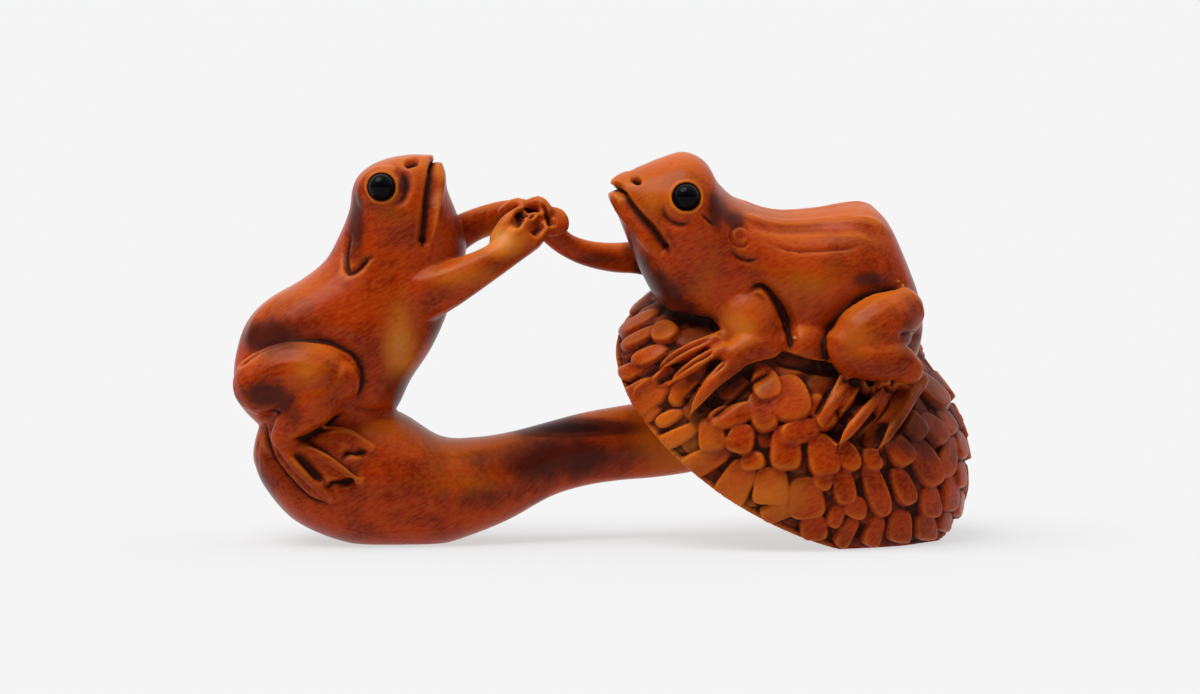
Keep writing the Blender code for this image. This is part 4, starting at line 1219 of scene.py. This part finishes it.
@dataclass
class Carving:
    """The whole wood carving, from rough forms to the finished skin."""

    mushroom: Mushroom
    left: LeftFrog
    right: RightFrog
    hands: JoinedHands
    eyes: tuple[Eye, ...]
    voxel: float = 0.13
    softening: int = 14
    cavity_reach: int = 40
    triangles: int = 192000
    cad_node: str = "netsuke_carving"
    # Where the zones of the cuts end, how strongly the stain takes, and how strongly painted shade darkens
    # the hollows and painted top light lightens faces that look up
    right_eye_x: float = 6.0
    left_zone: float = -8.0
    hands_zone: tuple[float, float] = (-5.0, 2.4)
    right_zone: float = -1.0
    ground_zone: float = 2.0
    cut_tone: float = 0.8
    painted_hollow_shade: float = 0.6
    hollow_depth: float = 0.25
    worn_height: float = 0.2
    top_light: float = 0.9
    top_light_from: float = 0.2
    chip_facing: float = 0.35
    cut_facing: tuple[float, float] = (4.0, 0.4)
    # Thicker stain; the patch at (-25.4, 11.2), in the fold under the left frog's thigh, is painted shade
    patches: tuple[ColourPatch, ...] = tuple(ColourPatch(*row) for row in (
        (-11.2, 23.0, 1.1, 3.4, 0.5), (-18.75, 24.3, 0.66, 2.9, 1.05),
        (-15.15, 27.0, 0.5, 0.95, 1.1), (-25.2, 15.6, 3.0, 1.6, 1.0), (-25.4, 11.2, 2.2, 1.0, 1.0),
        (-24.0, 10.4, 1.2, 1.4, 0.8), (-23.2, 9.8, 0.9, 1.6, 0.6), (-15.2, 11.4, 2.6, 1.8, 0.7),
        (-12.8, 15.0, 0.9, 3.6, 0.6), (-26.6, 17.0, 1.4, 4.0, 0.35), (-3.5, 6.4, 7.5, 2.2, 0.85),
        (-2.5, 8.6, 5.0, 0.8, 1.45), (-9.0, 3.2, 5.0, 1.2, 0.5), (-25.8, 4.6, 1.6, 4.0, 0.55),
        (1.8, 22.4, 0.8, 1.6, 0.8), (2.7, 20.9, 1.0, 1.4, 0.85), (3.7, 19.7, 1.1, 1.3, 0.9),
        (4.8, 18.5, 1.2, 1.2, 1.0), (6.0, 17.4, 1.3, 1.1, 1.0), (7.4, 16.7, 1.2, 0.9, 0.9),
        (-0.6, 21.6, 2.2, 0.8, 0.6), (8.2, 24.9, 0.9, 1.8, 0.9), (9.6, 24.3, 1.2, 0.9, 0.8),
        (-13.7, 1.9, 0.3, 0.2, 0.9), (-12.8, 1.7, 0.2, 0.3, 0.8), (19.6, 19.9, 1.6, 0.8, 0.9),
        (19.2, 20.6, 3.0, 1.6, 0.45), (22.6, 15.6, 1.6, 2.6, 0.6), (24.0, 9.0, 4.6, 5.5, 0.6),
        (17.5, 12.0, 3.0, 2.0, 0.35),
    ))
    pale_patches: tuple[ColourPatch, ...] = tuple(ColourPatch(*row) for row in (
        (-15.4, 15.0, 1.3, 3.4, 0.8), (-10.5, 20.0, 3.2, 1.0, 0.5), (-7.6, 22.9, 1.7, 1.3, 1.2),
        (-22.3, 12.9, 1.6, 1.6, 0.5), (-16.2, 25.0, 1.6, 1.6, 0.25), (-10.5, 4.6, 4.0, 1.6, 0.3),
        (4.0, 26.0, 2.6, 1.6, 0.45), (7.5, 19.0, 1.4, 3.0, 0.3), (15.0, 19.5, 4.0, 2.2, 0.35),
        (10.0, 16.4, 1.8, 1.8, 0.6), (18.8, 15.4, 1.8, 1.8, 0.4), (5.0, 8.0, 3.6, 4.0, 0.6),
        (11.0, 3.6, 4.5, 2.2, 0.65),
    ))
    chips: tuple[ColourPatch, ...] = tuple(ColourPatch(*row) for row in (
        (22.9, 15.75, 0.34, 0.26, 1.0), (14.15, 15.5, 0.2, 0.16, 1.0),
        (22.0, 19.7, 0.24, 0.12, 1.0), (22.3, 19.4, 0.12, 0.2, 1.0),
    ))

    def offset(self) -> Points:
        """What takes the CAD frame, in millimetres, to the carver's frame."""
        near, far, other = (self.eyes[i].centre / METRES for i in (0, 1, 2))
        return np.array((self.right_eye_x - other[0], -(near[1] + far[1]) / 2, 0.0))

    def rough(self) -> bpy.types.Object:
        """Joins all the forms into one rough object.

        Returns:
            The rough carving, in millimetres.
        """
        shape = bmesh.new()
        for part in (self.mushroom, self.left, self.hands, self.right):
            meshes = part.meshes()
            LOG.info("%s: %d forms", type(part).__name__, len(meshes))
            for mesh in meshes:
                shape.from_mesh(mesh)
                bpy.data.meshes.remove(mesh)
        return put_in_scene("frog_netsuke_wood", mesh_of(shape, "frog_netsuke_wood"))

    @staticmethod
    def apply(item: bpy.types.Object) -> None:
        """Puts the result of an object's modifiers in place of its mesh.

        Args:
            item: The object.
        """
        mesh = bpy.data.meshes.new_from_object(evaluated(item))
        old = item.data
        item.modifiers.clear()
        item.data = mesh
        bpy.data.meshes.remove(old)

    @staticmethod
    def read(mesh: Mesh, name: str = "co") -> Points:
        """Reads a vector of each vertex.

        Args:
            mesh: The mesh.
            name: Which vector, co or normal.

        Returns:
            A row for each vertex.
        """
        out = np.empty(len(mesh.vertices) * 3)
        mesh.vertices.foreach_get(name, out)
        return out.reshape(-1, 3)

    @staticmethod
    def write(mesh: Mesh, points: Points) -> None:
        """Moves the vertices."""
        mesh.vertices.foreach_set("co", points.ravel())
        mesh.update()

    @staticmethod
    def soften(item: bpy.types.Object, times: int) -> None:
        """Adds a modifier that softens the skin.

        Args:
            item: The object.
            times: How often it softens.
        """
        soften = item.modifiers.new("soften", "SMOOTH")
        soften.factor = 0.5
        soften.iterations = times

    def fuse(self, item: bpy.types.Object) -> None:
        """Fuses the overlapping forms into one skin and softens where they meet.

        Args:
            item: The rough carving.
        """
        remesh = item.modifiers.new("fuse", "REMESH")
        remesh.mode = "VOXEL"
        remesh.voxel_size = self.voxel
        self.soften(item, self.softening)
        self.apply(item)

    def cavity(self, item: bpy.types.Object) -> Points:
        """Works out how hollow the skin is round each vertex.

        Args:
            item: The carving.

        Returns:
            How far the skin lies below its own smoothed form, in millimetres.
        """
        points, normals = self.read(item.data), self.read(item.data, "normal")
        self.soften(item, self.cavity_reach)
        smooth = evaluated(item)
        moved = self.read(smooth.to_mesh())
        smooth.to_mesh_clear()
        item.modifiers.clear()
        return ((moved - points) * normals).sum(axis=1)

    def carve(self, item: bpy.types.Object) -> Points:
        """Cuts the scales, gills, features and seats into the skin.

        Args:
            item: The softened carving.

        Returns:
            How deep in a cut each vertex lies, from 0 to 1.
        """
        points, normals = self.read(item.data), self.read(item.data, "normal")
        lift, deep, dome = self.mushroom.relief(points)
        x, (hands_x, hands_reach) = points[:, 0].copy(), self.hands_zone
        zones = (
            (self.left.plane, self.left.cuts(), x < self.left_zone, True),
            (self.hands.plane, self.hands.cuts(), np.abs(x - hands_x) < hands_reach, True),
            (self.right.plane, self.right.cuts(), (x > self.right_zone) & ~dome, True),
            (self.right.plane, self.right.ground_cuts(), x > self.ground_zone, False),
        )
        start, (gain, least) = points.copy(), self.cut_facing
        for plane, cuts, where, both in zones:
            side = np.sign(plane.offset(start))
            outward = np.clip((normals @ plane.across) * side * gain - least, 0, 1)
            near = plane.near(start) if both else start
            fits = where * outward * (1.0 if both else side < 0)
            for cut in cuts:
                sink, tone = cut.profile(near)
                points = points - normals * (sink * fits)[:, None]
                deep = np.maximum(deep, tone * fits)
        for frog in (self.left, self.right):
            sink, tone = frog.notch().profile(start)
            points = points - normals * sink[:, None]
            deep = np.maximum(deep, tone)
        points = points + normals * lift[:, None]
        offset = self.offset()
        for eye, (plane, far) in zip(self.eyes, self.gazes()):
            gaze = np.array((0.0, -1.0, FRONT_SLOPE))
            if far:
                gaze = gaze - 2 * (gaze @ plane.across) * plane.across
            points, seat = eye.seat(points, gaze, offset)
            deep = np.maximum(deep, seat)
        points[:, 2] = np.maximum(points[:, 2], 0.0)
        self.write(item.data, points)
        return deep

    def gazes(self) -> tuple:
        """For each eye, the frog's middle plane and whether it is the far eye."""
        return (
            (self.left.plane, False), (self.left.plane, True),
            (self.right.plane, False), (self.right.plane, True),
        )

    @staticmethod
    def strongest(patches: tuple[ColourPatch, ...], points: Points) -> Points:
        """The strongest patch at each point."""
        return np.max([patch.at(points) for patch in patches], axis=0)

    def colour_map(self, item: bpy.types.Object, deep: Points) -> None:
        """Stores where the stain is thick, where painted shade darkens the hollows, grooves and bead
        seats, where the polish has worn the stain thin, and where faces that look up get painted top
        light.

        Args:
            item: The carved object.
            deep: How deep in a cut each vertex lies.
        """
        points = self.read(item.data)
        hollow, normals = self.cavity(item), self.read(item.data, "normal")
        upward, ahead = normals[:, 2], -normals[:, 1]
        layers = {
            # Stain in the cuts, with painted shade in the hollows, in the grooves and round the beads
            "recess": np.clip(
                self.cut_tone * deep + self.painted_hollow_shade * np.clip(hollow / self.hollow_depth, 0, 1), 0, 1
            ),
            # Convex edges lighter where the stain is worn, and faces that look up lighter as painted top
            # light
            "wear_and_top_light": np.clip(
                -hollow / self.worn_height + self.top_light * np.clip(upward - self.top_light_from, 0, 1), 0, 1
            ),
            "patch": self.strongest(self.patches, points),
            "pale": self.strongest(self.pale_patches, points),
            "chip": self.strongest(self.chips, points) * (ahead > self.chip_facing),
        }
        for name, values in layers.items():
            layer = item.data.attributes.new(name, "FLOAT", "POINT")
            layer.data.foreach_set("value", values.astype(np.float32))

    @staticmethod
    def drop_crumbs(item: bpy.types.Object) -> None:
        """Takes out the crumbs that the fusing left loose from the carving.

        Args:
            item: The carving.
        """
        shape = bmesh.new()
        shape.from_mesh(item.data)
        for vert in shape.verts:
            vert.tag = False
        parts = []
        for start in shape.verts:
            if start.tag:
                continue
            start.tag = True
            part = [start]
            for vert in part:
                for edge in vert.link_edges:
                    other = edge.other_vert(vert)
                    if not other.tag:
                        other.tag = True
                        part.append(other)
            parts.append(part)
        parts.sort(key=len)
        for part in parts[:-1]:
            LOG.info("crumb of %d corners taken out", len(part))
            bmesh.ops.delete(shape, geom=part, context="VERTS")
        shape.to_mesh(item.data)
        shape.free()

    def thin(self, item: bpy.types.Object) -> None:
        """Brings the skin down to its number of triangles.

        Args:
            item: The carved object.
        """
        count = sum(len(face.vertices) - 2 for face in item.data.polygons)
        thin = item.modifiers.new("thin", "DECIMATE")
        thin.ratio = min(self.triangles / count, 1.0)
        self.apply(item)
        self.drop_crumbs(item)
        LOG.info("skin thinned from %d to %d triangles", count, len(item.data.polygons))
        points = self.read(item.data)
        points[:, 2] = np.maximum(points[:, 2], 0.0)
        self.write(item.data, points)

    def build(self, finish: bpy.types.Material) -> bpy.types.Object:
        """Makes the finished carving.

        Args:
            finish: The wood's material.

        Returns:
            The carving, in metres, in the CAD frame.
        """
        item = self.rough()
        self.fuse(item)
        deep = self.carve(item)
        self.colour_map(item, deep)
        self.thin(item)
        shift = Matrix.Translation(Vector(-self.offset()))
        item.data.transform(Matrix.Scale(METRES, 4) @ shift)
        item.data.shade_smooth()
        item.data.materials.clear()
        item.data.materials.append(finish)
        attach(item, "root")
        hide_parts(self.cad_node)
        return item


def linear(colour: str) -> Colour:
    """Turns an sRGB hex colour to linear.

    Args:
        colour: Six hex digits after a hash.

    Returns:
        Red, green, blue and alpha.
    """
    parts = [int(colour[i : i + 2], 16) / 255 for i in (1, 3, 5)]
    bent = [part / 12.92 if part <= 0.04045 else ((part + 0.055) / 1.055) ** 2.4 for part in parts]
    return (*bent, 1.0)


def add_node(tree: bpy.types.NodeTree, kind: str, settings: dict, links: dict) -> bpy.types.Node:
    """Adds a node to a material.

    Args:
        tree: The material's nodes.
        kind: The node's type.
        settings: Its properties, and the values of its sockets by name or number.
        links: For its input sockets, the output sockets that feed them.

    Returns:
        The node.
    """
    node = tree.nodes.new(kind)
    for key, value in settings.items():
        if isinstance(key, str) and hasattr(node, key):
            setattr(node, key, value)
        else:
            node.inputs[key].default_value = value
    for key, source in links.items():
        tree.links.new(source, node.inputs[key])
    return node


def mixed(
    tree: bpy.types.NodeTree, share: Socket, first: Socket | Colour, second: Socket | Colour
) -> Socket:
    """Mixes two colours, each a socket or a colour.

    Args:
        tree: The material's nodes.
        share: The socket that says how much of the second colour shows.
        first: Colour at 0.
        second: Colour at 1.

    Returns:
        The mixed colour's socket.
    """
    settings: dict = {"data_type": "RGBA"}
    links = {0: share}
    for number, colour in ((6, first), (7, second)):
        target = settings if isinstance(colour, tuple) else links
        target[number] = colour
    return add_node(tree, "ShaderNodeMix", settings, links).outputs[2]


def set_inputs(node: bpy.types.Node, values: dict) -> None:
    """Sets input sockets of a node by name."""
    for name, value in values.items():
        node.inputs[name].default_value = value


def new_finish(name: str) -> tuple[bpy.types.Material, bpy.types.NodeTree, bpy.types.Node, Socket]:
    """Starts a material.

    Args:
        name: Its name.

    Returns:
        The material, its nodes, its shader, and the socket that gives places on the object.
    """
    finish = bpy.data.materials.new(name)
    finish.use_nodes = True
    tree = finish.node_tree
    place = add_node(tree, "ShaderNodeTexCoord", {}, {}).outputs["Object"]
    return finish, tree, tree.nodes["Principled BSDF"], place


@dataclass(frozen=True)
class StainedBoxwood:
    """Boxwood, knife-carved, stained orange-brown and hand-polished.

    The stain gathers near black in the cuts, with painted shade in the hollows, and the polish thins it to
    light orange on the edges; faces that look up are painted lighter, as painted top light.
    """

    light: str = "#D0701C"
    body: str = "#A02D04"
    red: str = "#7A1903"
    shade: str = "#3E1610"
    recess: str = "#220D08"
    tan: str = "#D0904A"
    bare: str = "#BE9350"
    # Boxwood's own grain is finer: it is drawn as coarse as it needs to show. Sizes in millimetres
    grain_width: float = 0.22
    grain_length: float = 0.8
    grain_rise: float = 28.0
    mottle: float = 3.0
    roughness: float = 0.3
    cut_roughness: float = 0.72
    ior: float = 1.47
    specular: float = 0.07
    coat: float = 0.04
    coat_roughness: float = 0.16
    scratch: float = 0.5
    bump: float = 0.35
    bump_height: float = 0.03

    def material(self) -> bpy.types.Material:
        """Builds the nodes of the wood.

        Returns:
            The material.
        """
        finish, tree, shader, place = new_finish("stained_polished_boxwood")
        along, across = self.grain_length * METRES, self.grain_width * METRES
        rise = -math.radians(self.grain_rise)
        lie = {"Scale": (along, across, across), "Rotation": (0.0, rise, 0.0)}
        stretched = add_node(
            tree, "ShaderNodeMapping", {"vector_type": "TEXTURE", **lie}, {"Vector": place}
        ).outputs[0]
        grain = add_node(
            tree, "ShaderNodeTexNoise", {"Scale": 1.0, "Detail": 4.0, "Roughness": 0.6},
            {"Vector": stretched},
        ).outputs[0]
        mottle = add_node(
            tree, "ShaderNodeTexNoise",
            {"Scale": 1 / (self.mottle * METRES), "Detail": 5.0, "Roughness": 0.62},
            {"Vector": place},
        ).outputs[0]
        recess, wear_and_top_light, patch, pale, chip = (
            add_node(tree, "ShaderNodeAttribute", {"attribute_name": name}, {}).outputs[2]
            for name in ("recess", "wear_and_top_light", "patch", "pale", "chip")
        )
        # The mottle makes the edges of the patches ragged
        product, total = {"operation": "MULTIPLY"}, {"operation": "ADD"}
        ragged = {"operation": "MULTIPLY_ADD", 1: 0.6, 2: -0.3}
        thin = add_node(tree, "ShaderNodeMath", product, {0: pale, 1: mottle}).outputs[0]
        edge = add_node(tree, "ShaderNodeMath", ragged, {0: mottle}).outputs[0]
        cloudy = add_node(tree, "ShaderNodeMath", total, {0: patch, 1: edge}).outputs[0]
        # Each coat: what guides it, from where to where, its share at either end, its colour
        coats = (
            (mottle, 0.42, 0.62, 0.0, 0.9, self.red),
            (grain, 0.38, 0.62, 0.16, 0.0, self.light),
            (thin, 0.02, 0.4, 0.0, 0.75, self.light),
            (thin, 0.3, 0.6, 0.0, 0.5, self.tan),
            # Painted top light on faces that look up, with wear on the edges, in light orange
            (wear_and_top_light, 0.1, 1.0, 0.0, 0.6, self.light),
            (cloudy, 0.2, 0.8, 0.0, 0.88, self.shade),
            (cloudy, 0.95, 1.3, 0.0, 0.8, self.recess),
            (grain, 0.6, 0.74, 0.0, 0.35, self.shade),
            # Near black: stain in the cuts, and painted shade in hollows, grooves and bead seats
            (recess, 0.08, 0.8, 0.0, 0.95, self.recess),
            (chip, 0.45, 0.6, 0.0, 0.9, self.bare),
        )
        colour = linear(self.body)
        for guide, low, high, least, most, tone in coats:
            colour = mixed(tree, self.span(tree, guide, low, high, least, most), colour, linear(tone))
        tree.links.new(colour, shader.inputs["Base Color"])

        rough = self.span(tree, recess, 0.0, 0.8, self.roughness, self.cut_roughness)
        tree.links.new(rough, shader.inputs["Roughness"])
        set_inputs(shader, {
            "IOR": self.ior, "Specular IOR Level": self.specular,
            "Coat Weight": self.coat, "Coat Roughness": self.coat_roughness,
        })
        scratch = add_node(
            tree, "ShaderNodeTexNoise",
            {"Scale": 1 / (self.scratch * METRES), "Detail": 6.0}, {"Vector": place},
        ).outputs[0]
        relief = add_node(tree, "ShaderNodeMath", total, {0: grain, 1: scratch}).outputs[0]
        strength = {"Strength": self.bump, "Distance": self.bump_height * METRES}
        bump = add_node(tree, "ShaderNodeBump", strength, {"Height": relief}).outputs[0]
        tree.links.new(bump, shader.inputs["Normal"])
        return finish

    @staticmethod
    def span(
        tree: bpy.types.NodeTree, value: Socket, low: float, high: float, out_low: float, out_high: float
    ) -> Socket:
        """Maps a value from one span to another, without going past its ends."""
        settings = {"interpolation_type": "SMOOTHSTEP", 1: low, 2: high, 3: out_low, 4: out_high}
        return add_node(tree, "ShaderNodeMapRange", settings, {0: value}).outputs[0]


@dataclass(frozen=True)
class BlackBead:
    """Black horn or glass, turned and polished to a deep gloss, with a soft cloudy sheen painted into its
    colour.
    """

    colour: str = "#030304"
    painted_sheen: str = "#0A0B0E"
    painted_sheen_size: float = 0.8
    roughness: float = 0.1
    ior: float = 1.5
    specular: float = 0.06

    def material(self) -> bpy.types.Material:
        """Builds the nodes of the bead.

        Returns:
            The material.
        """
        finish, tree, shader, place = new_finish("polished_black_bead")
        # A faint painted sheen: lighter clouds in the black
        painted_sheen = add_node(
            tree, "ShaderNodeTexNoise", {"Scale": 1 / (self.painted_sheen_size * METRES)}, {"Vector": place}
        ).outputs[0]
        colour = mixed(tree, painted_sheen, linear(self.colour), linear(self.painted_sheen))
        tree.links.new(colour, shader.inputs["Base Color"])
        set_inputs(
            shader, {"Roughness": self.roughness, "IOR": self.ior, "Specular IOR Level": self.specular}
        )
        return finish


@dataclass(frozen=True)
class Studio:
    """A pale table, soft light all round, and a camera with a long lens at the photo's angle."""

    frame_width: float = 1200.0
    pixels_per_mm: float = 13.2
    lens: float = 200.0
    sensor: float = 36.0
    table_reach: float = 4.0
    table: str = "#7C7C7C"
    fibre: str = "#808080"
    # A faint unevenness of the acrylic, in millimetres
    fibre_size: float = 0.4
    table_roughness: float = 0.6
    glow: str = "#CCCCCC"
    glow_strength: float = 1.0
    sun_way: tuple[float, float, float] = (-0.35, -0.22, 0.9)
    sun_spread: float = 45.0
    sun_strength: float = 2.8
    room_dark: str = "#2A2A2E"
    room_light: str = "#F8F8FB"
    room_way: tuple[float, float, float] = (0.0, 0.6, 0.8)
    room_spread: tuple[float, float] = (-0.3, 0.6)
    room_strength: float = 0.9
    clips: tuple[float, float] = (0.01, 20.0)
    middle_x: float = 600.0
    middle_y: float = 347.0
    zero_x: float = 606.0
    zero_y: float = 542.0

    def floor(self) -> None:
        """Lays a wide table of back-lit acrylic."""
        shape = bmesh.new()
        bmesh.ops.create_grid(shape, x_segments=2, y_segments=2, size=self.table_reach)
        table = put_in_scene("table", mesh_of(shape, "table"))
        finish, tree, shader, place = new_finish("back_lit_white_acrylic")
        fibre = add_node(
            tree, "ShaderNodeTexNoise", {"Scale": 1 / (self.fibre_size * METRES)}, {"Vector": place}
        ).outputs[0]
        tone = mixed(tree, fibre, linear(self.table), linear(self.fibre))
        tree.links.new(tone, shader.inputs["Base Color"])
        set_inputs(shader, {
            "Specular IOR Level": 0.0, "Roughness": self.table_roughness,
            "Emission Color": linear(self.glow), "Emission Strength": self.glow_strength,
        })
        table.data.materials.append(finish)

    def camera(self, offset: Points) -> None:
        """Sets the camera so that the netsuke fills the frame as the photo shows it.

        Args:
            offset: What takes the CAD frame, in millimetres, to the carver's frame.
        """
        data = bpy.data.cameras.new("camera")
        data.lens = self.lens
        data.sensor_width = self.sensor
        data.sensor_fit = "HORIZONTAL"
        data.clip_start, data.clip_end = self.clips
        item = put_in_scene("camera", data)
        width = self.frame_width / self.pixels_per_mm * METRES
        away = width * self.lens / self.sensor
        x = (self.middle_x - self.zero_x) / self.pixels_per_mm - offset[0]
        z = (self.zero_y - self.middle_y) / self.pixels_per_mm
        tilt = math.radians(ELEVATION)
        look = Vector((0.0, math.cos(tilt), -math.sin(tilt)))
        aim = Vector((x, -offset[1], z)) * METRES
        item.location = aim - look * away
        item.rotation_euler = look.to_track_quat("-Z", "Y").to_euler()
        bpy.context.scene.camera = item

    def sun(self) -> None:
        """Adds a very soft light that reaches the whole table alike."""
        data = bpy.data.lights.new("softbox", "SUN")
        data.angle = math.radians(self.sun_spread)
        data.energy = self.sun_strength
        item = put_in_scene("softbox", data)
        item.rotation_euler = (-Vector(self.sun_way)).to_track_quat("-Z", "Y").to_euler()

    def build(self, offset: Points) -> None:
        """Sets up table, camera, light and room.

        Args:
            offset: What takes the CAD frame, in millimetres, to the carver's frame.
        """
        self.floor()
        self.camera(offset)
        self.sun()
        world = bpy.data.worlds.new("white_room")
        world.use_nodes = True
        tree = world.node_tree
        backdrop = tree.nodes["Background"]
        way = add_node(tree, "ShaderNodeTexCoord", {}, {}).outputs["Generated"]
        lit = add_node(
            tree, "ShaderNodeVectorMath", {"operation": "DOT_PRODUCT", 1: self.room_way}, {0: way}
        ).outputs[1]
        # Dark below and in front, light above and behind
        ends = {1: self.room_spread[0], 2: self.room_spread[1], 3: 0.0, 4: 1.0}
        share = add_node(tree, "ShaderNodeMapRange", ends, {0: lit}).outputs[0]
        tone = mixed(tree, share, linear(self.room_dark), linear(self.room_light))
        tree.links.new(tone, backdrop.inputs["Color"])
        backdrop.inputs["Strength"].default_value = self.room_strength
        bpy.context.scene.world = world
        bpy.context.scene.view_settings.view_transform = "Standard"


def main() -> None:
    """Builds the netsuke and its studio."""
    logging.basicConfig(level=logging.INFO, format="%(name)s: %(message)s")
    mushroom = Mushroom()
    eyes = tuple(
        Eye(node)
        for node in (
            "left_frog_near_eye", "left_frog_far_eye", "right_frog_near_eye", "right_frog_far_eye",
        )
    )
    carving = Carving(mushroom, LeftFrog(mushroom), RightFrog(mushroom), JoinedHands(), eyes)
    wood = carving.build(StainedBoxwood().material())
    LOG.info("%s: %d triangles", wood.name, len(wood.data.polygons))
    bead_finish = BlackBead().material()
    for eye in eyes:
        bead = eye.bead(bead_finish)
        LOG.info("%s at %s", bead.name, [round(float(value), 5) for value in eye.centre])
    Studio().build(carving.offset())


if __name__ == "__main__":
    main()
